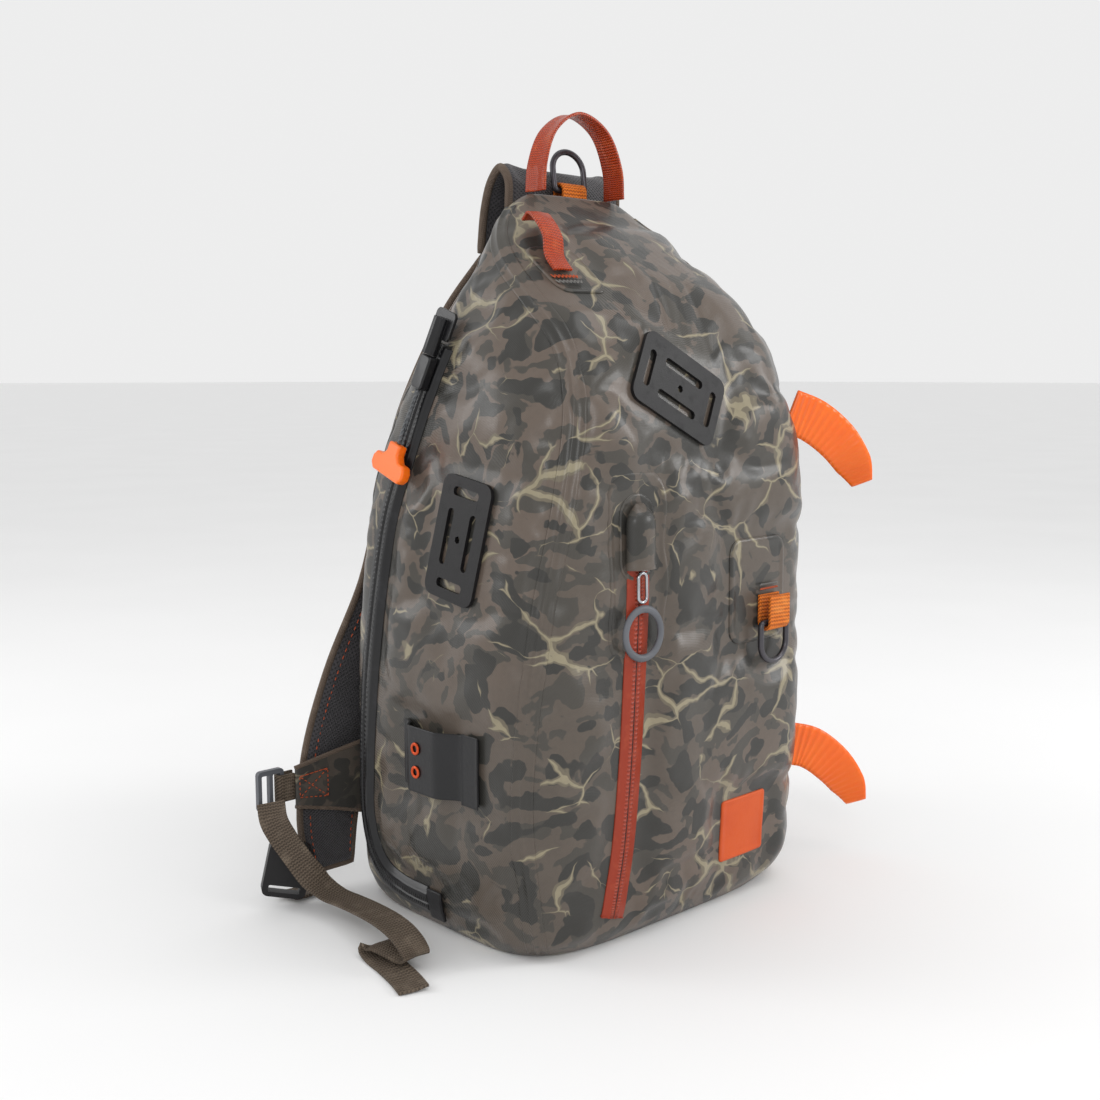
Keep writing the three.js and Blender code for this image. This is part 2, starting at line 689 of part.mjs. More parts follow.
grommetHeights.forEach((z, i) => {
  const eyelet = new THREE.LatheGeometry([
    new THREE.Vector2(grommetHoleRadius, 0),
    new THREE.Vector2(grommetRadius, 0),
    new THREE.Vector2(grommetRadius - 0.5, grommetThickness),
    new THREE.Vector2(grommetHoleRadius, grommetThickness),
    new THREE.Vector2(grommetHoleRadius, 0),
  ], 16);
  const name = i === 0 ? "sleeve_grommet_lower" : "sleeve_grommet_upper";
  addPart(name, facingOut(bare(eyelet.rotateX(Math.PI / 2))), "rustMetal",
    placedOnFace("left", grommetY, z, grommetOut));
});

// A D-ring lies flat with its straight bar along x at y = 0 and its bow below.
function dRing() {
  const half = ringWidth / 2;
  const outline = new THREE.Shape();
  outline.moveTo(-half, ringBar / 2);
  outline.lineTo(-half, -ringHeight * 0.45);
  outline.absellipse(0, -ringHeight * 0.45, half, ringHeight * 0.55 - ringBar / 2, Math.PI, fullTurn);
  outline.lineTo(half, ringBar / 2);
  const inner = new THREE.Path();
  const hollow = half - ringBar;
  inner.moveTo(-hollow, -ringBar / 2);
  inner.lineTo(-hollow, -ringHeight * 0.45);
  inner.absellipse(0, -ringHeight * 0.45, hollow, ringHeight * 0.55 - ringBar * 1.5, Math.PI, fullTurn);
  inner.lineTo(hollow, -ringBar / 2);
  outline.holes.push(inner);
  return plate(outline, ringThickness, 7).translate(0, 0, -ringThickness / 2);
}

// A webbing fold round a ring's bar, in the same flat frame: both layers run up from the bar.
const foldReach = Math.hypot(ringThickness, ringBar) / 2 + touchGap + webbingThickness / 2;
function foldedWebbing(width, length) {
  const outer = new THREE.Shape();
  const reach = foldReach + webbingThickness / 2;
  const inside = foldReach - webbingThickness / 2;
  outer.moveTo(-reach, length);
  outer.lineTo(-reach, 0);
  outer.absarc(0, 0, reach, Math.PI, fullTurn);
  outer.lineTo(reach, length);
  outer.lineTo(inside, length);
  outer.lineTo(inside, 0);
  outer.absarc(0, 0, inside, fullTurn, Math.PI, true);
  outer.lineTo(-inside, length);
  return plate(outer, width, 4).translate(0, 0, -width / 2).rotateY(Math.PI / 2);
}

// Front D-ring on its welded patch.
const frontRingX = wideAt(78);
const frontRingZ = highAt(208);
addPart("front_ring_patch",
  faceSheet("front", frontRingX - 42, frontRingX + 23, frontRingZ - 14, frontRingZ + 62,
    layGap, layGap + patchThickness, 5, 5), "camo");
const frontRingOut = layGap + patchThickness + touchGap + foldReach + webbingThickness / 2;
const frontRingFrame = placedOnFace("front", frontRingX, frontRingZ, frontRingOut);
const frontRingFold = foldedWebbing(ringWidth - 2 * ringBar - 2, 20);
addPart("front_ring_webbing", frontRingFold, "orangeWebbing", frontRingFrame);
addPart("front_d_ring", dRing(), "greyMetal", frontRingFrame);

// Lash loop near the top left, sewn to its welded patch.
const loopX = wideAt(-70);
const loopZ = highAt(450);
const loopDrift = wideAt(8);
addPart("lash_loop_patch",
  faceSheet("front", loopX - wideAt(10), loopX + wideAt(24), loopZ - highAt(12), loopZ + highAt(20),
    layGap, layGap + patchThickness, 4, 4), "camo");
const loopSeat = layGap + patchThickness + touchGap + webbingThickness / 2;
const loopLow = onFace("front", loopX, loopZ, loopSeat + 2.4);
const loopNext = onFace("front", loopX + 0.5, loopZ + highAt(8), loopSeat + 4.2);
const loopHigh = onFace("front", loopX + loopDrift, loopZ + highAt(36), loopSeat + 2);
addPart("lash_loop", evenStrip([
  loopLow.toArray(),
  loopNext.toArray(),
  [loopX + 1, loopNext.y + 5, loopNext.z + lashLoopRise * 0.9],
  [loopX + 3, loopNext.y + 16, loopNext.z + lashLoopRise * 1.7],
  [loopX + loopDrift - 2, loopHigh.y - 6, loopHigh.z + lashLoopRise * 0.25],
  loopHigh.toArray(),
], [1, 0, 0], lashLoopWidth, webbingThickness, 14), "rustWebbing");

// Grab handle over the top ridge.
const ridgeY = packDepth * 0.067;
const handleFoot = packHeight + touchGap + 0.8;
const handleHalf = handleSpan / 2;
addPart("grab_handle", evenStrip([
  [-handleHalf, ridgeY, handleFoot],
  [-handleHalf * 0.95, ridgeY, handleFoot + handleHeight * 0.35],
  [-handleHalf * 0.68, ridgeY, handleFoot + handleHeight * 0.76],
  [-handleHalf * 0.08, ridgeY, handleFoot + handleHeight],
  [handleHalf * 0.6, ridgeY, handleFoot + handleHeight * 0.82],
  [handleHalf * 0.95, ridgeY, handleFoot + handleHeight * 0.38],
  [handleHalf, ridgeY, handleFoot],
], [0, 1, 0], webbingWidth, webbingThickness, 26), "rustWebbing");

// Top D-ring, standing in front of the yoke and leaning back towards it.
const topRingX = 12;
const topRingY = ridgeY + 18.5;
const topRingZ = packHeight + 7;
const ringLean = degrees(8);
const topRingFrame = placed(
  new THREE.Vector3(topRingX, topRingY, topRingZ),
  new THREE.Vector3(0, -Math.cos(ringLean), Math.sin(ringLean)),
  new THREE.Vector3(0, -Math.sin(ringLean), -Math.cos(ringLean)),
);
addPart("top_ring_webbing", foldedWebbing(ringWidth - 2 * ringBar - 2, 11), "orangeWebbing",
  placed(new THREE.Vector3(topRingX, topRingY, topRingZ), new THREE.Vector3(0, -1, 0),
    new THREE.Vector3(0, 0, -1)));
addPart("top_d_ring", dRing(), "greyMetal", topRingFrame);

// Plain badge at the lower right of the front.
const badgeX = wideAt(57);
const badgeZ = highAt(58);
addPart("front_badge",
  faceSheet("front", badgeX - badgeWidth / 2, badgeX + badgeWidth / 2,
    badgeZ - badgeHeight / 2, badgeZ + badgeHeight / 2,
    layGap, layGap + patchThickness, 4, 4), "badgeOrange");

// Rod straps: ribbed rubber tongues that curve off the right side.
function rodStrap(z) {
  const root = onFace("right", -70, z, 9.5);
  return strip([
    root.toArray(),
    [root.x + rodStrapReach * 0.3, root.y - 9, z - rodStrapDroop * 0.1],
    [root.x + rodStrapReach * 0.62, root.y - 18, z - rodStrapDroop * 0.38],
    [root.x + rodStrapReach * 0.86, root.y - 24, z - rodStrapDroop * 0.72],
    [root.x + rodStrapReach, root.y - 27, z - rodStrapDroop],
  ], [[0, 0, 1], [0, -0.1, 1], [0, -0.2, 1], [0, -0.5, 1], [0.1, -0.8, 1]],
  [rodStrapWidth, rodStrapWidth, rodStrapWidth, rodStrapWidth * 0.9, rodStrapWidth * 0.6],
  rodStrapThickness, 10);
}
const rodStrapHeights = { upper: highAt(355), lower: highAt(96) };
for (const [place, z] of Object.entries(rodStrapHeights)) {
  addPart(`rod_strap_anchor_${place}`,
    faceSheet("right", -66, -26, z - rodStrapWidth / 2 - 4, z + rodStrapWidth / 2 + 4,
      layGap, layGap + 1.6, 3, 3), "camo");
  addPart(`rod_strap_${place}`, rodStrap(z), "orangeRubber");
}

// Back pad and yoke.
const padGap = layGap + 1.4;
const backPadHalf = wideAt(84);
const backPadSheet = faceSheet("back", -backPadHalf, backPadHalf, highAt(60), highAt(400),
  padGap, padGap + padThickness, 8, 8);
addPart("back_pad", backPadSheet, "strapFabric");
const yokeX = wideAt(18);
const yokeTop = packHeight + yokeRise;
const yokeSew = layGap + strapThickness / 2 + 0.6;
const yokeLow = onFace("back", yokeX, packHeight * 0.865, yokeSew);
const yokeMid = onFace("back", yokeX, packHeight * 0.92, yokeSew + 1.5);
const yokeEnd = [yokeX, yokeLow.y + 19, packHeight * 0.93];
addPart("yoke", evenStrip([
  yokeLow.toArray(),
  yokeMid.toArray(),
  [yokeX, packDepth * 0.217, packHeight - 4],
  [yokeX, packDepth * 0.22, yokeTop - 14],
  [yokeX, packDepth * 0.26, yokeTop - strapThickness / 2],
  [yokeX, packDepth * 0.31, yokeTop - 14],
  [yokeX, packDepth * 0.345, packHeight - 6],
  yokeEnd,
], [1, 0, 0], yokeWidth, strapThickness, 20), "strapFabric");

// One side's harness: the shoulder strap, the wing off the back edge with its webbing loop and
// ladder lock, and a half of the side-release buckle on a webbing tab at the strap's end.
const strapBack = packDepth / 2 + padThickness + layGap + 14;
const wingRoot = packWidth / 2 - 42;
const wingReach = packWidth / 2 + 36;
const wingHeight = 86;
const lockGap = webbingThickness / 2 + ladderLockThickness / 2 + 0.9;
const strapOut = packWidth / 2 + 4;

function shoulderStrap(side) {
  const hang = [
    [31, yokeEnd[1] + 3.5, yokeEnd[2] - 11.5],
    [wideAt(44), yokeEnd[1] + 22, highAt(424)],
    [wideAt(56), strapBack - 7, highAt(355)],
    [wideAt(66), strapBack, highAt(288)],
    [wideAt(85), strapBack + 1, highAt(221)],
    [wideAt(119), strapBack, highAt(155)],
    [strapOut - 8, strapBack - 2, 100],
    [strapOut, strapBack - 4, 55],
    [strapOut, strapBack - 6, 17],
  ];
  const widths = [52, 58, strapWidth, strapWidth, strapWidth, strapWidth, 58, 54, 42];
  const across = hang.map(() => [side, 0, 0]);
  const drift = [1, 0.7, 0.3, 0, 0, 0, 0, 0, 0];
  const points = hang.map(([x, y, z], i) => [side * x + yokeX * drift[i], y, z]);
  return strip(points, across, widths, strapThickness, 22);
}

function wing(side) {
  const depth = packDepth / 2 + 4;
  const route = [
    [wingRoot, depth, wingHeight],
    [wingRoot + 24, depth + 2, wingHeight],
    [wingRoot + 46, depth + 7, wingHeight],
    [wingReach, depth + 11, wingHeight],
  ];
  return strip(route.map(([x, y, z]) => [side * x, y, z]), route.map(() => [0, 0, 1]),
    [62, 56, 45, 30], wingThickness, 6);
}

const lockX = wingReach + 7.5;
const lockY = packDepth / 2 + 22.5;
const lockBar = 3;
const lockSlot = 6.2;
function lockFrame(side) {
  return placed(new THREE.Vector3(side * lockX, lockY, wingHeight), new THREE.Vector3(0, 1, 0),
    new THREE.Vector3(side, 0, 0));
}
function ladderLock() {
  const length = 3 * lockBar + 2 * lockSlot;
  const outline = roundedOutline(ladderLockWidth, length, 3, 0, length / 2 - lockBar / 2);
  for (const step of [0, 1]) {
    const slot = roundedOutline(ladderLockWidth - 7, lockSlot, 0.8, 0,
      lockBar / 2 + lockSlot / 2 + step * (lockBar + lockSlot));
    outline.holes.push(slot);
  }
  return plate(outline, ladderLockThickness, 2).translate(0, 0, -ladderLockThickness / 2);
}
function lockLoop() {
  const outer = new THREE.Shape();
  const reach = lockGap + webbingThickness / 2;
  const inside = lockGap - webbingThickness / 2;
  outer.moveTo(-reach, -9);
  outer.lineTo(-inside, -9);
  outer.lineTo(-inside, 0);
  outer.absarc(0, 0, inside, Math.PI, 0, true);
  outer.lineTo(inside, -12);
  outer.lineTo(reach, -12);
  outer.lineTo(reach, 0);
  outer.absarc(0, 0, reach, 0, Math.PI);
  outer.lineTo(-reach, -9);
  return plate(outer, webbingWidth, 4).translate(0, 0, -webbingWidth / 2).rotateY(-Math.PI / 2);
}

// Side-release buckle half: a shell with two side windows and a webbing slot at its foot.
function buckleOutline() {
  const outline = roundedOutline(buckleWidth, buckleLength, 5, 0, buckleLength / 2);
  outline.holes.push(roundedOutline(webbingWidth + 3, 5, 1, 0, 6));
  return outline;
}
function buckleHalf(open) {
  const body = plate(buckleOutline(), buckleThickness, 3).translate(0, 0, -buckleThickness / 2);
  if (!open) {
    return body;
  }
  const mouth = new THREE.BoxGeometry(buckleWidth - 10, 22, buckleThickness - 4);
  return cut(body, mouth.translate(0, buckleLength - 9, 0));
}
const buckleLean = degrees(14);
const buckleX = packWidth / 2 + 51;
const buckleY = packDepth / 2 + 13;
const buckleFoot = floorClearance + 7;
function buckleFrame(side) {
  return placed(new THREE.Vector3(side * buckleX, buckleY, buckleFoot),
    new THREE.Vector3(side * 0.5, -1, 0),
    new THREE.Vector3(-side * Math.sin(buckleLean), 0, Math.cos(buckleLean)));
}
function buckleWebbing(side) {
  const low = floorClearance + webbingThickness / 2;
  const route = [
    [buckleX - 7, buckleY + 6, buckleFoot - 3.4],
    [buckleX - 14, buckleY + 8, low + 0.6],
    [buckleX - 26, buckleY + 9, low],
    [buckleX - 42, buckleY + 9, low + 4],
  ];
  return evenStrip(route.map(([x, y, z]) => [side * x, y, z]), [0, 1, 0], webbingWidth,
    webbingThickness, 6);
}

for (const [name, side] of Object.entries({ left: -1, right: 1 })) {
  addPart(`${name}_shoulder_strap`, shoulderStrap(side), "strapFabric");
  addPart(`${name}_wing`, wing(side), "camo");
  addPart(`${name}_wing_loop`, lockLoop(), "brownWebbing", lockFrame(side));
  addPart(`${name}_ladder_lock`, ladderLock(), "greyPlastic", lockFrame(side));
  addPart(`${name}_buckle_webbing`, buckleWebbing(side), "brownWebbing");
  addPart(`${name}_buckle`, buckleHalf(side < 0), "blackPlastic", buckleFrame(side));
}

// The loose end of the left adjuster webbing, from the ladder lock to the floor and folded there.
const tailPoints = [
  [-203, 118, 80],
  [-204, 113, 68],
  [-200, 108, 56],
  [-194, 103, 44],
  [-188, 97, 32],
  [-183, 88, 22],
  [-180, 75, 17],
  [-179, 58, 17],
  [-181, 38, 19],
  [-184, 18, 21],
  [-187, -2, 22],
  [-190, -20, 21],
  [-192, -33, 17],
  [-192, -37, 12],
  [-192, -31, 9],
  [-193, -16, 9.5],
  [-194, -2, 9],
  [-196, 5, 5],
  [-198, -4, 2.4],
  [-201, -22, 2.3],
  [-206, -44, 2.3],
  [-211, -60, 2.3],
];
const tailSpreads = tailPoints.map(([, y]) => (y > 90 ? [0.73, -0.68, 0] : [1, -0.1, 0.1]));
addPart("left_webbing_tail",
  strip(tailPoints, tailSpreads, tailPoints.map(() => webbingWidth), webbingThickness, 60),
  "brownWebbing");

export default pack;
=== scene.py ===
import math
import bpy
import bmesh
from mathutils import Matrix, Vector, noise
from mathutils.bvhtree import BVHTree


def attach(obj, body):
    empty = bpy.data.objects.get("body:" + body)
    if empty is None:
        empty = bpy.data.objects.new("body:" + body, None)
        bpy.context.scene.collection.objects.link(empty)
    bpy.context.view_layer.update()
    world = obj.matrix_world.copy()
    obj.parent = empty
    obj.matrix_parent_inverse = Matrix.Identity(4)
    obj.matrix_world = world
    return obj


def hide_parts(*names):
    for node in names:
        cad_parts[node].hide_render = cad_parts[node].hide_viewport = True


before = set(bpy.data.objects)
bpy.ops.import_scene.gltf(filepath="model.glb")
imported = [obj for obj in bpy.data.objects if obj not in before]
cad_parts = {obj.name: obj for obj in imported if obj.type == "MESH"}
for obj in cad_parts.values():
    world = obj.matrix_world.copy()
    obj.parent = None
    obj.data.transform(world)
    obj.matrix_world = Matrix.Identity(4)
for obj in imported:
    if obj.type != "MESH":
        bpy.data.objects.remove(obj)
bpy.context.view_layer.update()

print("frame loaded with", len(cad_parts), "nodes")

# Sizes in this file are millimetres until unit turns them into metres.
unit = 0.001

view = {
    "place": (-0.697, -0.706, 0.385),
    "turn": 43.0,
    "dip": 7.4,
    "lens": 44.2,
}


def makeCamera():
    data = bpy.data.cameras.new("view")
    data.lens = view["lens"]
    data.sensor_width = 36
    camera = bpy.data.objects.new("view", data)
    bpy.context.scene.collection.objects.link(camera)
    camera.location = view["place"]
    camera.rotation_euler = (math.radians(90 - view["dip"]), 0, math.radians(-view["turn"]))
    bpy.context.scene.camera = camera


makeCamera()


# Curves and strips.

def throughPoints(points, share):
    last = len(points) - 1
    place = min(max(share, 0), 1) * last
    i = min(int(place), last - 1)
    weight = place - i
    start, end = points[i], points[i + 1]
    before = points[i - 1] if i > 0 else start * 2 - end
    after = points[i + 2] if i + 2 <= last else end * 2 - start
    span = max((end - start).length_squared ** 0.25, 1e-4)
    lead = (start - before).length_squared ** 0.25
    trail = (after - end).length_squared ** 0.25
    lead = lead if lead > 1e-4 else span
    trail = trail if trail > 1e-4 else span
    leave = ((start - before) / lead - (end - before) / (lead + span) + (end - start) / span) * span
    arrive = ((end - start) / span - (after - start) / (span + trail) + (after - end) / trail) * span
    square, cube = weight * weight, weight ** 3
    return (start * (2 * cube - 3 * square + 1) + leave * (cube - 2 * square + weight)
            + end * (3 * square - 2 * cube) + arrive * (cube - square))


def vectors(points):
    return [Vector(point) for point in points]


def makeObject(name, bm, recalc=True):
    if recalc:
        bmesh.ops.recalc_face_normals(bm, faces=bm.faces)
    mesh = bpy.data.meshes.new(name)
    bm.to_mesh(mesh)
    bm.free()
    mesh.shade_smooth()
    obj = bpy.data.objects.new(name, mesh)
    bpy.context.scene.collection.objects.link(obj)
    return obj


def evenly(count):
    return [i / count for i in range(count + 1)]


# A sheet whose points come from place(u, v) in millimetres. Its UV map holds the distances
# across and along it in metres, and acrossStops gives uneven columns.
def sheetGrid(bm, place, columns, rows, width, length):
    acrossStops = columns if isinstance(columns, list) else evenly(columns)
    alongStops = rows if isinstance(rows, list) else evenly(rows)
    wide, tall = len(acrossStops) - 1, len(alongStops) - 1
    made = bmesh.ops.create_grid(bm, x_segments=wide, y_segments=tall, size=0.5)["verts"]
    uvs = bm.loops.layers.uv.get("along") or bm.loops.layers.uv.new("along")
    spots = {}
    for vert in made:
        u = acrossStops[round((vert.co.x + 0.5) * wide)]
        v = alongStops[round((vert.co.y + 0.5) * tall)]
        spots[vert] = ((u - 0.5) * width * unit, v * length * unit)
        vert.co = place(u, v) * unit
    for face in {face for vert in made for face in vert.link_faces}:
        for loop in face.loops:
            loop[uvs].uv = spots[loop.vert]
    return made


def stripPlace(points, directions, widths, lift=lambda u, v: 0.0):
    route = vectors(points)
    spreads = vectors(directions)
    spans = [Vector((width, 0, 0)) for width in widths]

    def place(u, v):
        ahead = throughPoints(route, min(v + 0.002, 1))
        tangent = (ahead - throughPoints(route, max(v - 0.002, 0))).normalized()
        across = throughPoints(spreads, v)
        across = (across - tangent * across.dot(tangent)).normalized()
        facing = tangent.cross(across)
        spot = throughPoints(route, v)
        return spot + across * (u - 0.5) * throughPoints(spans, v).x + facing * lift(u, v)

    return place


def routeLength(points, steps=400):
    route = vectors(points)
    spots = [throughPoints(route, i / steps) for i in range(steps + 1)]
    return sum((b - a).length for a, b in zip(spots, spots[1:])), spots


def addSolidify(obj, thickness, offset=0.0):
    made = obj.modifiers.new("thickness", "SOLIDIFY")
    made.thickness = thickness * unit
    made.offset = offset
    made.use_even_offset = False


def addBevel(obj, width, segments=2, angle=35):
    made = obj.modifiers.new("soft_edges", "BEVEL")
    made.width = width * unit
    made.segments = segments
    made.limit_method = "ANGLE"
    made.angle_limit = math.radians(angle)
    made.harden_normals = False


def addSubdivision(obj, levels=1):
    made = obj.modifiers.new("smooth", "SUBSURF")
    made.levels = levels
    made.render_levels = levels


def dress(obj, paint, body="pack", stands=()):
    obj.data.materials.clear()
    obj.data.materials.append(paint)
    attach(obj, body)
    if stands:
        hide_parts(*stands)
    return obj


# Materials.

def tone(red, green, blue):
    def linear(value):
        value /= 255
        return value / 12.92 if value <= 0.04045 else ((value + 0.055) / 1.055) ** 2.4
    return (linear(red), linear(green), linear(blue), 1.0)


class Wire:
    def __init__(self, paint, socket):
        self.paint = paint
        self.socket = socket

    def calc(self, operation, *values):
        return self.paint.add("Math", {"operation": operation}, dict(enumerate(values)))

    def __add__(self, other):
        return self.calc("ADD", self, other)

    def __radd__(self, other):
        return self.calc("ADD", other, self)

    def __sub__(self, other):
        return self.calc("SUBTRACT", self, other)

    def __rsub__(self, other):
        return self.calc("SUBTRACT", other, self)

    def __mul__(self, other):
        return self.calc("MULTIPLY", self, other)

    def __rmul__(self, other):
        return self.calc("MULTIPLY", other, self)

    def __abs__(self):
        return self.calc("ABSOLUTE", self)

    def wave(self):
        return self.calc("SINE", self)

    def step(self, low, high):
        return self.paint.add("MapRange", {"interpolation_type": "SMOOTHSTEP"},
                              {"Value": self, "From Min": low, "From Max": high})


class Paint:
    def __init__(self, name):
        self.material = bpy.data.materials.new(name)
        self.material.use_nodes = True
        self.nodes = self.material.node_tree.nodes
        self.links = self.material.node_tree.links
        self.nodes.clear()

    def add(self, kind, settings=None, sockets=None, out=0):
        node = self.nodes.new("ShaderNode" + kind)
        for key, value in (settings or {}).items():
            setattr(node, key, value)
        for key, value in (sockets or {}).items():
            if isinstance(value, Wire):
                self.links.new(value.socket, node.inputs[key])
            else:
                node.inputs[key].default_value = value
        return Wire(self, node.outputs[out])

    def place(self):
        return self.add("TexCoord", out="Object")

    def along(self):
        spot = self.add("UVMap", {"uv_map": "along"})
        return self.parts(spot)[:2]

    def parts(self, vector):
        node = self.add("SeparateXYZ", None, {0: vector}).socket.node
        return [Wire(self, output) for output in node.outputs]

    def noise(self, scale, detail=2.0, vector=None, rough=0.5, out="Fac"):
        return self.add("TexNoise", None, {
            "Vector": vector or self.place(), "Scale": scale, "Detail": detail,
            "Roughness": rough}, out)

    def blend(self, factor, first, second):
        return self.add("Mix", {"data_type": "RGBA"}, {0: factor, 6: first, 7: second}, 2)

    def shift(self, vector, other, amount):
        centred = self.add("VectorMath", {"operation": "SUBTRACT"}, {0: other, 1: (0.5, 0.5, 0.5)})
        scaled = self.add("VectorMath", {"operation": "SCALE"}, {0: centred, "Scale": amount})
        return self.add("VectorMath", {"operation": "ADD"}, {0: vector, 1: scaled})

    def bump(self, height, distance, strength=1.0):
        return self.add("Bump", None, {"Height": height, "Distance": distance, "Strength": strength})

    def finish(self, **values):
        shader = self.nodes.new("ShaderNodeBsdfPrincipled")
        output = self.nodes.new("ShaderNodeOutputMaterial")
        self.links.new(shader.outputs[0], output.inputs[0])
        names = {"colour": "Base Color", "rough": "Roughness", "metal": "Metallic", "coat": "Coat Weight",
                 "coatRough": "Coat Roughness", "normal": "Normal", "sheen": "Sheen Weight",
                 "through": "Subsurface Weight", "reach": "Subsurface Radius",
                 "specular": "Specular IOR Level"}
        for key, value in values.items():
            socket = shader.inputs[names[key]]
            if isinstance(value, Wire):
                self.links.new(value.socket, socket)
            else:
                socket.default_value = value
        return self.material


riverCloth = {
    "ground": tone(84, 75, 67),
    "groundWarm": tone(95, 83, 74),
    "stone": tone(42, 42, 40),
    "stoneSoft": tone(63, 60, 55),
    "ripple": tone(106, 98, 82),
    "rippleBright": tone(143, 134, 110),
    "dust": tone(50, 48, 46),
    "sheenTone": tone(140, 134, 124),
    "stoneScale": 40.0,
    "stoneReach": 0.44,
    "rippleScale": 20.0,
    "rippleWidth": 0.11,
    "flatten": 1.45,
    "twillPitch": 0.0011,
    "rough": 0.3,
}


# The second argument darkens the whole cloth as painted shade, for a shaded copy of it.
def riverPaint(name="riverbed_cloth", paintedShade=0.0):
    paint = Paint(name)
    plan = riverCloth
    place = paint.place()
    sway = paint.noise(11.0, 2.0, place, 0.5, "Color")
    shake = paint.noise(60.0, 2.0, place, 0.6, "Color")
    curl = paint.noise(28.0, 1.0, place, 0.5, "Color")
    swayed = paint.shift(paint.shift(paint.shift(place, sway, 0.06), curl, 0.026), shake, 0.009)
    stretched = paint.add("VectorMath", {"operation": "MULTIPLY"},
                          {0: swayed, 1: (1.0, 1.0, plan["flatten"])})
    cell = paint.add("TexVoronoi", {"feature": "DISTANCE_TO_EDGE"},
                     {"Vector": stretched, "Scale": plan["rippleScale"]})
    gaps = paint.noise(24.0, 2.0, place)
    patchy = paint.noise(70.0, 1.0, place)
    width = gaps.step(0.39, 0.7) * plan["rippleWidth"] * (patchy + 0.35) - 0.012
    ripple = (width - cell).step(0.0, 0.014)
    rippleCore = (width * 0.5 - cell).step(0.0, 0.012)
    stones = paint.add("TexVoronoi", {"feature": "SMOOTH_F1"}, {
        "Vector": stretched, "Scale": plan["stoneScale"], "Smoothness": 0.35})
    grain = paint.noise(48.0, 2.0, swayed)
    stone = (plan["stoneReach"] - stones + (grain - 0.5) * 0.9).step(0.0, 0.03)
    second = paint.noise(46.0, 2.0, stretched)
    soft = second.step(0.515, 0.535)
    ground = paint.blend(paint.noise(5.0, 1.0).step(0.4, 0.6), plan["ground"], plan["groundWarm"])
    ground = paint.blend(soft, ground, plan["stoneSoft"])
    ground = paint.blend(stone, ground, plan["stone"])
    ground = paint.blend(ripple, ground, plan["ripple"])
    ground = paint.blend(rippleCore, ground, plan["rippleBright"])
    x, y, z = paint.parts(place)
    turn = 2 * math.pi / plan["twillPitch"]
    twill = ((x * 0.7 - y * 0.7 + z) * turn).wave() * ((x + y * 0.8 - z * 0.9) * turn * 0.5).wave()
    dust = paint.noise(240.0, 2.0)
    # This mix is dust and painted shade: the speckles are dust, and the amount added to them darkens the
    # whole cloth towards the dust colour as painted shade.
    worn = paint.blend(dust.step(0.35, 0.85) * 0.14 + paintedShade, ground, plan["dust"])
    colour = paint.blend((twill + 1) * 0.05, worn, plan["sheenTone"])
    rough = paint.noise(7.0, 3.0).step(0.2, 0.8) * 0.16 + (plan["rough"] - 0.06) + twill * 0.03
    crumple = paint.noise(16.0, 3.0, place, 0.55)
    creases = paint.noise(70.0, 3.0, place, 0.6)
    height = twill * 0.03 + crumple * 1.3 + creases * 0.12
    return paint.finish(colour=colour, rough=rough, normal=paint.bump(height, 0.0022, 0.5),
                        coat=0.22, coatRough=0.2, specular=0.28)


def plainPaint(name, base, spot, rough, grain=600.0, depth=0.0001, metal=0.0, coat=0.0, variety=0.5):
    paint = Paint(name)
    fine = paint.noise(grain, 2.0)
    broad = paint.noise(26.0, 3.0)
    colour = paint.blend(broad.step(0.35, 0.7) * variety, base, spot)
    scuffs = paint.noise(130.0, 3.0, None, 0.7)
    roughness = broad * 0.12 + scuffs.step(0.5, 0.8) * 0.1 + (rough - 0.08)
    return paint.finish(colour=colour, rough=roughness, metal=metal, coat=coat, specular=0.35,
                        normal=paint.bump(fine + scuffs * 0.6, depth, 0.6))


def webbingPaint(name, base, dark, light, pitch=0.0021, ends=0.0026, rough=0.75, coat=0.0):
    paint = Paint(name)
    across, along = paint.along()
    turn = 2 * math.pi
    rib = (along * (turn / pitch) + (across * (turn / ends)).wave() * 0.9).wave()
    warp = (across * (turn / ends * 1.5)).wave()
    weave = rib * 0.7 + warp * 0.3
    shade = paint.blend(weave.step(-0.8, 0.7), dark, base)
    wear = paint.noise(90.0, 3.0).step(0.5, 0.8) * 0.4 + paint.noise(900.0, 1.0) * 0.15
    colour = paint.blend(wear, shade, light)
    roughness = paint.noise(300.0, 2.0) * 0.15 + (rough - 0.07)
    return paint.finish(colour=colour, rough=roughness, coat=coat, specular=0.3,
                        normal=paint.bump(weave + paint.noise(1400.0, 1.0) * 0.5, 0.0005, 0.8))


def zipPaint(name, base, dark, light, rough, toothPitch=0.0022, toothDepth=0.0004, coat=0.15):
    paint = Paint(name)
    across, along = paint.along()
    side = abs(across)
    teeth = (along * (2 * math.pi / toothPitch)).wave()
    row = side.step(0.0007, 0.0013) * (1 - side.step(0.0034, 0.004))
    # The split between the two rows of teeth is painted near black: painted shade in the gap.
    split = 1 - side.step(0.0003, 0.0008)
    colour = paint.blend(row * teeth.step(0.2, 0.9) * 0.55, base, dark)
    colour = paint.blend(split * 0.9, colour, tone(24, 20, 20))
    worn = paint.noise(120.0, 3.0).step(0.5, 0.75) * 0.35
    colour = paint.blend(worn, colour, light)
    height = row * teeth + paint.noise(500.0, 2.0) * 0.25
    return paint.finish(colour=colour, rough=paint.noise(60.0, 2.0) * 0.15 + rough, coat=coat, specular=0.35,
                        normal=paint.bump(height, toothDepth, 0.7))


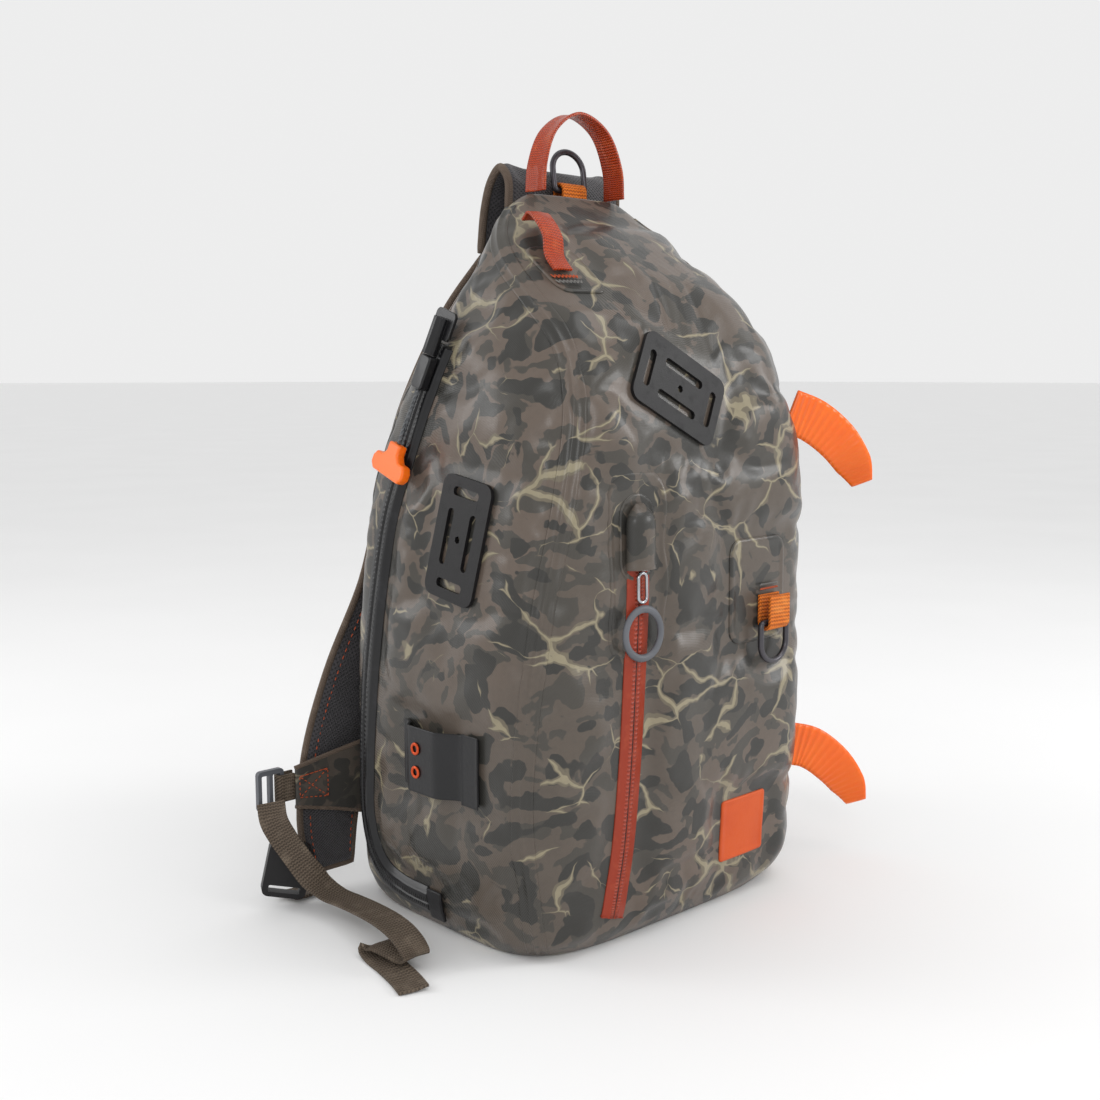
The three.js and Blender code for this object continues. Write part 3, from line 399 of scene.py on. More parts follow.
def spacerPaint():
    paint = Paint("spacer_mesh")
    across, along = paint.along()
    turn = 2 * math.pi / 0.0034
    holes = (across * turn).wave() * (along * turn).wave()
    # The holes of the mesh are painted dark, where the bump is lowest: painted shade inside the holes.
    rim = holes.step(-0.1, 0.5)
    colour = paint.blend(rim, tone(58, 55, 58), tone(28, 27, 29))
    fuzz = paint.noise(700.0, 2.0)
    colour = paint.blend(fuzz.step(0.5, 0.8) * 0.3, colour, tone(86, 84, 88))
    return paint.finish(colour=colour, rough=fuzz * 0.15 + 0.78, sheen=0.25,
                        normal=paint.bump(fuzz * 0.4 - rim, 0.0009, 0.8))


def threadPaint(name, base, dark):
    paint = Paint(name)
    x, y, z = paint.parts(paint.place())
    ply = ((x + y + z * 1.3) * 5200.0).wave()
    colour = paint.blend(ply.step(-0.6, 0.6), dark, base)
    return paint.finish(colour=colour, rough=paint.noise(900.0, 1.0) * 0.2 + 0.5,
                        normal=paint.bump(ply, 0.0001, 0.6))


def rubberPaint():
    paint = Paint("orange_rubber")
    broad = paint.noise(20.0, 2.0)
    colour = paint.blend(broad.step(0.3, 0.75) * 0.6, tone(250, 112, 8), tone(240, 92, 4))
    scuffs = paint.noise(220.0, 3.0, None, 0.7)
    colour = paint.blend(scuffs.step(0.62, 0.85) * 0.3, colour, tone(250, 150, 80))
    return paint.finish(colour=colour, rough=scuffs * 0.18 + 0.26, through=0.25,
                        reach=(0.004, 0.0015, 0.0005),
                        normal=paint.bump(scuffs, 0.0002, 0.5))


paints = {
    "river": riverPaint(),
    "liner": plainPaint("coated_lining", tone(74, 74, 71), tone(60, 60, 58), 0.7, 500.0, 0.0002),
    "black": plainPaint("coated_black", tone(19, 19, 21), tone(29, 28, 31), 0.42, 420.0, 0.00025, coat=0.15),
    "plastic": plainPaint("moulded_black", tone(18, 17, 18), tone(27, 25, 27), 0.5, 1500.0, 0.0002),
    "grey": plainPaint("moulded_grey", tone(88, 90, 95), tone(104, 106, 111), 0.45, 900.0, 0.00015),
    "wire": plainPaint("plated_wire", tone(178, 180, 184), tone(140, 142, 146), 0.2, 400.0, 0.00005,
                       metal=1.0),
    "ring": plainPaint("anodised_ring", tone(74, 72, 76), tone(96, 94, 98), 0.34, 700.0, 0.0001, metal=0.75),
    "eyelet": plainPaint("orange_eyelet", tone(205, 78, 34), tone(176, 58, 24), 0.32, 500.0, 0.0001,
                         metal=0.5),
    "rubber": rubberPaint(),
    "badge": plainPaint("badge_orange", tone(204, 82, 24), tone(190, 70, 20), 0.5, 700.0, 0.0002,
                        variety=0.7),
    "rustWebbing": webbingPaint("rust_webbing", tone(190, 60, 10), tone(126, 34, 4), tone(210, 100, 46),
                                0.0018, 0.0024, 0.34, 0.15),
    "orangeWebbing": webbingPaint("orange_webbing", tone(228, 118, 28), tone(150, 66, 10),
                                  tone(246, 166, 84), 0.0026, 0.003),
    "brownWebbing": webbingPaint("taupe_webbing", tone(99, 86, 73), tone(58, 49, 41), tone(134, 120, 104),
                                 0.0024, 0.0028),
    "binding": webbingPaint("taupe_binding", tone(112, 96, 84), tone(80, 68, 58), tone(136, 122, 108),
                            0.0012, 0.0016),
    "rustZip": zipPaint("rust_zip_tape", tone(150, 50, 24), tone(96, 26, 12), tone(176, 78, 48), 0.34,
                        coat=0.05),
    "blackZip": zipPaint("black_zip_tape", tone(20, 20, 22), tone(13, 13, 15), tone(46, 46, 50), 0.26,
                         0.003, 0.0003),
    "mesh": spacerPaint(),
    "orangeThread": threadPaint("orange_thread", tone(208, 92, 44), tone(150, 56, 22)),
    "greyThread": threadPaint("grey_thread", tone(132, 130, 126), tone(92, 90, 88)),
    "cord": webbingPaint("braided_cord", tone(88, 90, 92), tone(58, 60, 62), tone(120, 122, 126),
                         0.003, 0.002, 0.5, 0.1),
}
print("materials made:", len(paints))

# The loose end of the left adjuster webbing.
tail = {
    "points": [
        (-203, 118, 80), (-204, 113, 68), (-200, 108, 56), (-194, 103, 44), (-188, 97, 32),
        (-183, 88, 22), (-180, 75, 17), (-179, 58, 17), (-181, 38, 19), (-184, 18, 21),
        (-187, -2, 22), (-190, -20, 21), (-192, -33, 17), (-192, -37, 12), (-192, -31, 9),
        (-193, -16, 9.5), (-194, -2, 9), (-196, 5, 5), (-198, -4, 2.4), (-201, -22, 2.3),
        (-206, -44, 2.3), (-211, -60, 2.3),
    ],
    "width": 20,
    "thickness": 2,
}


def makeTail():
    points = tail["points"]
    spreads = [(0.73, -0.68, 0) if y > 90 else (1, -0.1, 0.1) for x, y, z in points]
    length, spots = routeLength(points)
    bm = bmesh.new()
    place = stripPlace(points, spreads, [tail["width"]] * len(points),
                       lambda u, v: 0.35 * math.cos(6.28 * u))
    sheetGrid(bm, place, 8, 200, tail["width"], length)
    obj = makeObject("left_tail_webbing", bm)
    addSolidify(obj, tail["thickness"] * 0.85)
    addBevel(obj, 0.4)
    dress(obj, paints["brownWebbing"], "pack", ["left_webbing_tail"])
    length * unit
    [tuple(s * unit) for s in spots[::4]]
    return length


print("loose webbing laid, length in mm", round(makeTail()))

# The shell's surface: reach to the left, right, front and back as shares of half the width or
# depth, and how square the front and back corners are, by share of the height.
bag = {
    "height": 512, "width": 290, "depth": 210,
    "stations": [
        (0, 0.92, 0.89, 0.85, 0.91, 4.5, 7), (0.025, 0.97, 0.95, 0.94, 0.98, 5, 8),
        (0.1, 1.0, 0.98, 0.98, 1.0, 5.4, 9), (0.25, 1.02, 1.0, 1.0, 1.01, 5.6, 9),
        (0.42, 1.0, 1.02, 1.0, 1.0, 5.2, 9), (0.56, 0.95, 1.035, 0.99, 0.98, 5, 8),
        (0.64, 0.9, 1.01, 0.98, 0.93, 4.6, 7), (0.72, 0.86, 0.955, 0.95, 0.82, 4, 5.5),
        (0.79, 0.805, 0.9, 0.875, 0.68, 3.4, 4.4), (0.84, 0.73, 0.82, 0.73, 0.57, 2.9, 3.6),
        (0.88, 0.66, 0.74, 0.53, 0.46, 2.6, 3.2), (0.92, 0.58, 0.63, 0.3, 0.39, 2.5, 3),
        (0.957, 0.49, 0.52, 0.08, 0.33, 2.5, 3), (0.983, 0.4, 0.41, -0.05, 0.28, 2.5, 2.8),
        (1, 0.3, 0.3, -0.12, 0.21, 2.5, 2.6),
    ],
}
seams = {
    "frontLeft": [(0, 214), (0.2, 211), (0.45, 214), (0.6, 217), (0.74, 216), (0.8, 210), (0.85, 199),
                  (0.9, 186), (0.94, 179), (0.98, 177)],
    "frontRight": [(0, 334), (0.45, 333), (0.74, 332), (0.85, 343), (0.98, 358)],
    "rearRight": [(0, 37), (0.6, 36), (0.8, 30), (0.98, 14)],
    "rearLeft": [(0, 143), (0.6, 144), (0.8, 150), (0.98, 164)],
    "zip": [(0, 150), (0.15, 150.5), (0.28, 152.5), (0.46, 155.5), (0.6, 158), (0.73, 162.5),
            (0.8, 166), (0.9, 171), (0.98, 174)],
}


def cubic(rows, at):
    last = len(rows) - 1
    at = min(max(at, rows[0][0]), rows[last][0])
    i = max(k for k in range(last) if rows[k][0] <= at)
    start, end = rows[i], rows[i + 1]
    before, after = (rows[i - 1] if i > 0 else end), (rows[i + 2] if i + 2 <= last else start)
    half = (end[0] - start[0]) / 2
    lead, trail = half / (start[0] - before[0]), half / (after[0] - end[0])
    p = (at - start[0]) / (end[0] - start[0])
    square, cube = p * p, p ** 3
    weights = (-lead * cube + 2 * lead * square - lead * p,
               (1 + lead) * cube + (-1.5 - 2 * lead) * square + (-0.5 + lead) * p + 1,
               (-1 - trail) * cube + (1.5 + trail) * square + 0.5 * p,
               trail * cube - trail * square)
    return [sum(w * row[k] for w, row in zip(weights, (before, start, end, after)))
            for k in range(1, len(start))]


def sectionAt(z):
    left, right, front, back, frontCorner, backCorner = cubic(bag["stations"], z / bag["height"])
    return ((right - left) * bag["width"] / 4, (back - front) * bag["depth"] / 4,
            (right + left) * bag["width"] / 4, (back + front) * bag["depth"] / 4, frontCorner, backCorner)


def onSection(angle, z):
    centreX, centreY, halfWidth, halfDepth, frontCorner, backCorner = sectionAt(z)
    across, along = math.cos(angle), math.sin(angle)
    power = frontCorner if along < 0 else backCorner
    reach = ((abs(across) / halfWidth) ** power + (abs(along) / halfDepth) ** power) ** (-1 / power)
    return Vector((centreX + reach * across, centreY + reach * along, z))


def bagNormal(angle, z):
    around = onSection(angle + 0.004, z) - onSection(angle - 0.004, z)
    up = onSection(angle, min(z + 0.6, bag["height"])) - onSection(angle, max(z - 0.6, 0))
    return around.cross(up).normalized()


def onBag(angle, z, out=0.0):
    return onSection(angle, z) + bagNormal(angle, z) * out


def angleOf(point):
    section = sectionAt(point.z)
    return math.atan2(point.y - section[1], point.x - section[0])


def snapped(point, out=0.0):
    return onBag(angleOf(point), point.z, out)


def onFace(face, across, z, out=0.0):
    centreX, centreY, halfWidth, halfDepth, frontCorner, backCorner = sectionAt(z)
    facesY = face in ("front", "back")
    half, other, centre = (halfWidth, halfDepth, centreX) if facesY else (halfDepth, halfWidth, centreY)
    towardsFront = face == "front" or (not facesY and across < centreY)
    power = frontCorner if towardsFront else backCorner
    share = min(abs(across - centre) / half, 0.999)
    reach = other * (1 - share ** power) ** (1 / power)
    if facesY:
        point = Vector((across, centreY + (-reach if face == "front" else reach), z))
    else:
        point = Vector((centreX + (-reach if face == "left" else reach), across, z))
    return snapped(point, out)


def seamAngle(name, z):
    return math.radians(cubic(seams[name], min(z / bag["height"], 0.98))[0])


def placed(centre, normal, up, turn=0.0):
    outward = normal.normalized()
    side = up.cross(outward).normalized()
    rise = outward.cross(side)
    turned = Matrix((side, rise, outward)).transposed() @ Matrix.Rotation(turn, 3, "Z")
    return Matrix.Translation(centre) @ turned.to_4x4()


def placedOnFace(face, across, z, out, turn=0.0):
    spot = onFace(face, across, z)
    normal = bagNormal(angleOf(spot), spot.z)
    return placed(spot + normal * out, normal, Vector((0, 0, 1)), turn)


plates = {
    "upper_lash_plate": placedOnFace("front", -15, 375, 0.8, math.radians(-27.5)),
    "side_lash_plate": placedOnFace("left", -22, 277, 0.8, math.radians(81)),
}


# What lies on the shell keeps the fabric under it from swelling.
def nodeTree(names):
    bm = bmesh.new()
    for name in names:
        bm.from_mesh(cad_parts[name].data)
    tree = BVHTree.FromBMesh(bm)
    bm.free()
    return tree


hardwareTree = nodeTree([
    "main_zip_front_tape", "main_zip_rear_tape", "main_zip_slider", "main_zip_dock", "main_zip_end_stop",
    "main_zip_t_pull", "main_zip_pull_cord", "pocket_zip_left_tape", "pocket_zip_right_tape",
    "pocket_zip_slider", "pocket_slider_bail", "pocket_pull_ring", "pocket_zip_garage",
    "upper_lash_plate", "side_lash_plate", "tool_sleeve", "front_ring_patch", "front_d_ring",
    "front_ring_webbing", "lash_loop_patch", "lash_loop", "front_badge", "rod_strap_anchor_upper",
    "rod_strap_anchor_lower", "back_pad", "yoke", "left_wing", "right_wing", "grab_handle",
    "top_ring_webbing",
])


def smoothStep(low, high, value):
    share = min(max((value - low) / (high - low), 0), 1)
    return share * share * (3 - 2 * share)


# The fabric shell, swollen between its welded seams.
shell = {
    "columns": 168,
    "base": 7,
    "wall": 96,
    "top": 5,
    "pressure": 5.0,
    "slack": 0.05,
    "most": 9.0,
    "freeFrom": 2.0,
    "freeAt": 20.0,
    "frames": 20,
}
# Soft dents (negative) and swells: face, across, height, half width, half height, depth.
shellSwells = [
    ("front", -88, 352, 30, 34, 5.5),
    ("front", -112, 300, 16, 40, 3.0),
    ("front", -40, 318, 60, 9, -3.0),
    ("front", 50, 322, 44, 9, -3.4),
    ("front", 84, 356, 34, 30, 5.0),
    ("front", 112, 300, 20, 50, 3.5),
    ("front", 18, 418, 50, 14, -2.0),
    ("front", 60, 405, 30, 18, 2.5),
    ("front", 92, 34, 36, 16, 4.5),
    ("front", 52, 20, 60, 7, -3.0),
    ("front", -20, 150, 22, 90, 1.6),
    ("front", 96, 150, 26, 70, 2.5),
    ("left", -66, 330, 20, 44, 4.0),
    ("left", -68, 246, 12, 60, 2.2),
    ("left", 30, 250, 26, 70, 2.0),
    ("left", -30, 180, 34, 26, -2.2),
    ("left", 10, 60, 40, 26, 2.6),
    ("left", -10, 395, 34, 18, 2.5),
    ("right", -20, 300, 40, 60, 4.0),
    ("right", 10, 200, 50, 34, 3.0),
    ("right", 0, 250, 60, 12, -2.5),
    ("right", -10, 120, 60, 46, 3.5),
    ("right", 30, 400, 30, 24, 2.4),
]
# Narrow creases between two places on a face: depth and half width.
shellCreases = [
    ("front", -60, 312, 40, 306, 1.6, 3.5),
    ("front", 30, 330, 100, 318, 1.8, 4.0),
    ("front", 20, 14, 98, 52, 2.2, 4.5),
    ("front", -34, 330, -66, 356, 1.4, 4.0),
    ("front", 44, 398, 92, 344, 1.3, 4.0),
    ("left", -60, 196, -8, 176, 1.5, 4.5),
    ("left", -52, 226, 6, 244, 1.2, 4.5),
    ("left", -70, 300, -52, 366, 1.2, 4.0),
    ("right", -60, 262, 30, 246, 1.6, 5.0),
    ("right", -50, 150, 40, 176, 1.6, 5.0),
]


def shellPlace(u, v):
    plan = shell
    rows = plan["base"] + plan["wall"] + plan["top"]
    row = v * rows
    angle = u * 2 * math.pi
    if row <= plan["base"]:
        share = math.sin(row / plan["base"] * math.pi / 2) ** 0.8
        rim = onSection(angle, 0.2)
        middle = Vector((sectionAt(0)[0], sectionAt(0)[1], 0))
        spot = middle.lerp(rim, share)
        return Vector((spot.x, spot.y, 0.25 + 1.6 * (1 - share ** 6)))
    if row <= plan["base"] + plan["wall"]:
        share = (row - plan["base"]) / plan["wall"]
        return onSection(angle, 0.2 + (bag["height"] - 0.6) * share)
    share = (row - plan["base"] - plan["wall"]) / plan["top"]
    rim = onSection(angle, bag["height"])
    middle = Vector((sectionAt(bag["height"])[0], sectionAt(bag["height"])[1], bag["height"]))
    spot = rim.lerp(middle, share)
    return Vector((spot.x, spot.y, bag["height"] - 0.1 - 1.4 * math.sin(share * math.pi / 2)))


def swell(obj, plan, pins):
    group = obj.vertex_groups.new(name="held")
    for index, weight in pins.items():
        group.add([index], weight, "REPLACE")
    cloth = obj.modifiers.new("swelling", "CLOTH")
    settings = cloth.settings
    settings.quality = 5
    settings.mass = 0.2
    settings.use_pressure = True
    settings.uniform_pressure_force = plan["pressure"]
    settings.effector_weights.gravity = 0
    settings.tension_stiffness = 25
    settings.compression_stiffness = 12
    settings.shear_stiffness = 8
    settings.bending_stiffness = 0.4
    settings.shrink_min = -plan["slack"]
    settings.shrink_max = -plan["slack"]
    settings.vertex_group_mass = "held"
    cloth.collision_settings.use_collision = False
    cloth.point_cache.frame_start = 1
    cloth.point_cache.frame_end = plan["frames"]
    scene = bpy.context.scene
    for step in range(1, plan["frames"] + 1):
        scene.frame_set(step)
    moved = obj.evaluated_get(bpy.context.evaluated_depsgraph_get())
    spots = [vert.co.copy() for vert in moved.data.vertices]
    obj.modifiers.remove(cloth)
    obj.vertex_groups.clear()
    scene.frame_set(1)
    return spots


def creaseDepth(point, normal):
    total = 0.0
    for face, fromX, fromZ, toX, toZ, depth, half in shellCreases:
        if faceShare(face, normal) <= 0:
            continue
        across = point.x if face == "front" or face == "back" else point.y
        start, end = Vector((fromX, fromZ)), Vector((toX, toZ))
        run = end - start
        share = min(max((Vector((across, point.z)) - start).dot(run) / run.length_squared, 0), 1)
        wobble = 4.0 * math.sin(share * 7 + fromX)
        away = (Vector((across, point.z + wobble)) - (start + run * share)).length
        fade = math.sin(math.pi * (0.08 + 0.84 * share))
        total -= depth * fade * math.exp(-(away / half) ** 2)
        total += depth * 0.6 * fade * math.exp(-((away - half * 2.2) / half) ** 2)
    return total


def faceShare(face, normal):
    facing = {"front": -normal.y, "back": normal.y, "left": -normal.x, "right": normal.x}[face]
    return smoothStep(0.25, 0.6, facing)


def swellDepth(point, normal):
    total = 0.0
    for face, across, height, halfAcross, halfHeight, depth in shellSwells:
        share = faceShare(face, normal)
        if share <= 0:
            continue
        place = point.x if face in ("front", "back") else point.y
        away = ((place - across) / halfAcross) ** 2 + ((point.z - height) / halfHeight) ** 2
        total += depth * share * math.exp(-away)
    return total


def platePull(point):
    for matrix in plates.values():
        local = matrix.inverted() @ point
        if abs(local.z) < 20:
            beyond = math.hypot(max(abs(local.x) - 41, 0), max(abs(local.y) - 25, 0))
            weight = 1 - smoothStep(0, 16, beyond)
            if weight > 0:
                outward = matrix.to_3x3() @ Vector((0, 0, 1))
                return outward * ((-0.55 - local.z) * weight), weight
    return Vector((0, 0, 0)), 0.0


def makeShell():
    plan = shell
    rows = plan["base"] + plan["wall"] + plan["top"]
    bm = bmesh.new()
    sheetGrid(bm, shellPlace, plan["columns"], rows, 1000, 600)
    bmesh.ops.remove_doubles(bm, verts=bm.verts, dist=0.00005)
    obj = makeObject("shell_skin", bm)
    mesh = obj.data
    before = [vert.co.copy() for vert in mesh.vertices]
    normals = [vert.normal.copy() for vert in mesh.vertices]
    pins, free = {}, []
    for index, spot in enumerate(before):
        point = spot / unit
        near = hardwareTree.find_nearest(spot)[3] / unit
        seamAway = 1e9
        angle = angleOf(point) % (2 * math.pi)
        radius = math.hypot(point.x, point.y)
        for name in seams:
            turn = abs((angle - seamAngle(name, point.z) + math.pi) % (2 * math.pi) - math.pi)
            seamAway = min(seamAway, turn * radius)
        edge = min(point.z - 4, bag["height"] * 0.972 - point.z)
        room = min(smoothStep(plan["freeFrom"], plan["freeAt"], near), smoothStep(0, 14, edge))
        seamRoom = smoothStep(2.0, 9.0, seamAway)
        free.append((room, seamRoom))
        if room * seamRoom < 0.05:
            pins[index] = 1.0
    after = swell(obj, plan, pins)
    for index, vert in enumerate(mesh.vertices):
        room, seamRoom = free[index]
        normal = normals[index]
        point = before[index] / unit
        shift = (after[index] - before[index]) / unit
        if shift.length > plan["most"]:
            shift = shift.normalized() * plan["most"]
        shape = swellDepth(point, normal) + creaseDepth(point, normal)
        shape += 0.9 * noise.fractal(point * 0.016, 0.6, 2.0, 3)
        along = normal * (shape * (0.35 + 0.65 * seamRoom))
        pull, under = platePull(point)
        keep = room * (1 - under)
        vert.co = (point + shift * keep * 0.8 + along * keep + pull) * unit
        if vert.co.z < 0.0004:
            vert.co.z = 0.0004
    mesh.update()
    addSubdivision(obj, 1)
    dress(obj, paints["river"], "pack", [
        "front_panel", "left_side_panel", "rear_gusset", "back_panel", "right_side_panel", "base_panel",
        "top_ridge"])
    return obj


shellSkin = makeShell()
print("shell shaped with", len(shellSkin.data.vertices), "points")


def shellTree():
    ready = shellSkin.evaluated_get(bpy.context.evaluated_depsgraph_get())
    bm = bmesh.new()
    bm.from_mesh(ready.to_mesh())
    tree = BVHTree.FromBMesh(bm)
    bm.free()
    ready.to_mesh_clear()
    return tree


skinTree = shellTree()


# A place given near the surface, moved on to the skin and then out of it.
def onSkin(point, out=0.0):
    normal = bagNormal(angleOf(point), min(max(point.z, 1), bag["height"] - 1))
    start = (point + normal * 25) * unit
    hit, face, index, away = skinTree.ray_cast(start, -normal, 0.06)
    if hit is None:
        hit, face, index, away = skinTree.find_nearest(point * unit)
    return hit / unit + (face * 0.6 + normal * 0.4).normalized() * out


# A raised strip along a route: profile is (offset, height) pairs across it.
def laidStrip(name, route, profile, paint, stands=(), steps=120, skin=True, thick=0.5, body="pack"):
    spots = vectors(route)
    length, _ = routeLength(route, 60)
    offsets = [pair[0] for pair in profile]
    low, high = offsets[0], offsets[-1]

    def place(u, v):
        column = min(range(len(profile)), key=lambda k: abs((offsets[k] - low) / (high - low) - u))
        spot = snapped(throughPoints(spots, v))
        normal = bagNormal(angleOf(spot), spot.z)
        ahead = snapped(throughPoints(spots, min(v + 0.01, 1)))
        behind = snapped(throughPoints(spots, max(v - 0.01, 0)))
        across = (ahead - behind).normalized().cross(normal).normalized()
        target = snapped(spot + across * offsets[column])
        height = profile[column][1]
        if skin:
            return onSkin(target, height)
        return target + bagNormal(angleOf(target), target.z) * height

    bm = bmesh.new()
    stops = [(offset - low) / (high - low) for offset in offsets]
    middle = (low + high) / 2
    sheetGrid(bm, place, stops, steps, high - low, length)
    uvs = bm.loops.layers.uv["along"]
    for face in bm.faces:
        for loop in face.loops:
            loop[uvs].uv.x += middle * unit
    obj = makeObject(name, bm, recalc=False)
    addSolidify(obj, thick, -1.0)
    dress(obj, paint, body, stands)
    return obj


seamTape = {
    "profile": [(-7.5, -0.2), (-7.1, 0.45), (-6.2, 0.75), (-5.2, 0.45), (-2.0, 0.4), (-0.8, 1.3), (0, 1.55),
                (0.8, 1.3), (2.0, 0.4), (5.2, 0.45), (6.2, 0.75), (7.1, 0.45), (7.5, -0.2)],
    "low": 5,
    "high": 500,
}


def makeSeamTapes():
    plan = seamTape
    labels = {"frontLeft": "front_left", "frontRight": "front_right", "rearRight": "rear_right",
              "rearLeft": "rear_left"}
    for name, label in labels.items():
        heights = [plan["low"] + (plan["high"] - plan["low"]) * share for share in evenly(40)]
        route = [onSection(seamAngle(name, z), z).to_tuple() for z in heights]
        laidStrip("seam_tape_" + label, route, plan["profile"], paints["river"], steps=150)


makeSeamTapes()
print("seam tapes laid")

# The main zip: two raised lips beside a split, on a smooth tape.
mainZip = {
    "profile": [(-12.2, -0.3), (-11.8, 1.1), (-7.4, 1.4), (-6.9, 2.4), (-6.2, 2.8), (-1.6, 2.9), (-0.8, 2.5),
                (-0.5, 1.0), (0, 0.8), (0.5, 1.0), (0.8, 2.5), (1.6, 2.9), (4.6, 2.8), (5.3, 2.4), (5.8, 1.3),
                (9.4, 1.1), (9.9, -0.3)],
}
pocketZip = {
    "profile": [(-10.4, -0.3), (-10.0, 1.0), (-5.0, 1.15), (-4.5, 1.9), (-1.0, 2.2), (-0.5, 1.7), (0, 0.9),
                (0.5, 1.7), (1.0, 2.2), (4.5, 1.9), (5.0, 1.15), (10.0, 1.0), (10.4, -0.3)],
}


def makeZips():
    height, depth = bag["height"], bag["depth"]
    route = [onSection(seamAngle("zip", height * share), height * share).to_tuple()
             for share in (0.79, 0.72, 0.64, 0.56, 0.47, 0.37, 0.28, 0.2, 0.135)]
    route += [onFace("left", depth * across, height * up).to_tuple()
              for across, up in ((0.36, 0.085), (0.29, 0.055), (0.18, 0.042), (0.05, 0.04))]
    laidStrip("main_zip_track", route, mainZip["profile"], paints["blackZip"],
              ["main_zip_front_tape", "main_zip_rear_tape"], steps=260, skin=False, thick=0.8)
    front = [(-58, 286), (-58, 240), (-61, 180), (-65, 120), (-71, 65), (-79, 26), (-79.6, 24.4)]
    route = [(x, -depth / 2, z) for x, z in front]
    laidStrip("pocket_zip_track", route, pocketZip["profile"], paints["rustZip"],
              ["pocket_zip_left_tape", "pocket_zip_right_tape"], steps=260, skin=False, thick=0.8)


makeZips()
print("zips laid")


# Welded patches with rounded corners and a raised rim.
def patchOn(name, face, low, high, corner, height, paint, stands=(), rim=0.5, turn=0.0, arch=False):
    (left, bottom), (right, top) = low, high
    centreX, centreZ = (left + right) / 2, (bottom + top) / 2
    halfX, halfZ = (right - left) / 2, (top - bottom) / 2
    edges = [0, 0.008, 0.03, 0.055, 0.08]
    stops = edges + [0.08 + 0.84 * i / 16 for i in range(1, 16)] + [1 - e for e in reversed(edges)]

    def place(u, v):
        x, z = (u * 2 - 1) * halfX, (v * 2 - 1) * halfZ
        reach = halfX if arch and z > 0 else corner
        overX, overZ = abs(x) - (halfX - reach), abs(z) - (halfZ - reach)
        if overX > 0 and overZ > 0:
            most = max(overX, overZ)
            length = math.hypot(overX, overZ)
            overX, overZ = overX * most / length, overZ * most / length
            x = math.copysign(halfX - reach + overX, x)
            z = math.copysign(halfZ - reach + overZ, z)
        edge = min(u, 1 - u, v, 1 - v)
        lift = height + (rim if 0.02 < edge < 0.06 else 0)
        lift = -0.2 if edge == 0 else lift
        cos, sin = math.cos(turn), math.sin(turn)
        return onSkin(onFace(face, centreX + x * cos - z * sin, centreZ + x * sin + z * cos), lift)

    bm = bmesh.new()
    sheetGrid(bm, place, stops, stops, right - left, top - bottom)
    if face in ("left", "back"):
        bmesh.ops.reverse_faces(bm, faces=bm.faces)
    obj = makeObject(name, bm, recalc=False)
    addSolidify(obj, 0.5, -1.0)
    dress(obj, paint, "pack", stands)
    return obj


def makePatches():
    river = paints["river"]
    patchOn("ring_patch", "front", (36, 194), (101, 270), 12, 0.85, river,
            ["front_ring_patch"], 0.6)
    patchOn("loop_patch", "front", (-80, 438), (-46, 470), 8, 0.85, river,
            ["lash_loop_patch"], 0.5)
    patchOn("pocket_patch", "front", (-84, 200), (-32, 322), 14, 0.3, river, (), 0.5)
    patchOn("garage_patch", "front", (-74, 250), (-42, 309), 14, 0.7, river, (), 0.6,
            arch=True)
    patchOn("badge_patch", "front", (32, 35), (82, 81), 3, 0.85, paints["badge"],
            ["front_badge"], 0.35)
    for place, z in (("upper", 355), ("lower", 96)):
        patchOn("rod_anchor_" + place, "right", (-66, z - 21), (-26, z + 21), 6, 1.2, river,
                ["rod_strap_anchor_" + place], 0.5)


makePatches()
print("patches laid")


# Moulded and metal pieces keep the frame's own shape, with their edges eased.
def eased(node, paint, body, width=0.6, segments=2):
    bm = bmesh.new()
    bm.from_mesh(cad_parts[node].data)
    bmesh.ops.remove_doubles(bm, verts=bm.verts, dist=0.00001)
    bmesh.ops.dissolve_limit(bm, angle_limit=math.radians(1.5), verts=bm.verts, edges=bm.edges)
    uvs = bm.loops.layers.uv.new("along")
    for face in bm.faces:
        for loop in face.loops:
            spot = loop.vert.co
            loop[uvs].uv = (spot.x + spot.y * 0.15, spot.z + spot.y * 0.9)
    obj = makeObject(node + "_eased", bm)
    addBevel(obj, width, segments)
    obj.data.set_sharp_from_angle(angle=math.radians(50))
    dress(obj, paint, body, [node])


def makeHardware():
    eased("upper_lash_plate", paints["plastic"], "pack", 0.7, 3)
    eased("side_lash_plate", paints["plastic"], "pack", 0.7, 3)
    eased("main_zip_slider", paints["black"], "main_slider", 1.2, 3)
    eased("main_zip_dock", paints["black"], "pack", 0.8, 3)
    eased("main_zip_end_stop", paints["black"], "pack", 0.8, 3)
    eased("main_zip_t_pull", paints["rubber"], "main_pull", 1.4, 3)
    eased("pocket_zip_slider", paints["wire"], "pocket_slider", 0.8, 3)
    eased("left_ladder_lock", paints["grey"], "left_lock", 0.7, 3)
    eased("right_ladder_lock", paints["grey"], "right_lock", 0.7, 3)
    eased("left_buckle", paints["plastic"], "left_clip", 1.4, 3)
    eased("right_buckle", paints["plastic"], "right_clip", 1.4, 3)
    for side in ("left", "right"):
        eased(side + "_wing_loop", paints["brownWebbing"], "pack", 0.3)
    eased("top_ring_webbing", paints["orangeWebbing"], "pack", 0.4)
    eased("front_ring_webbing", paints["orangeWebbing"], "pack", 0.4)


makeHardware()
print("hardware eased")


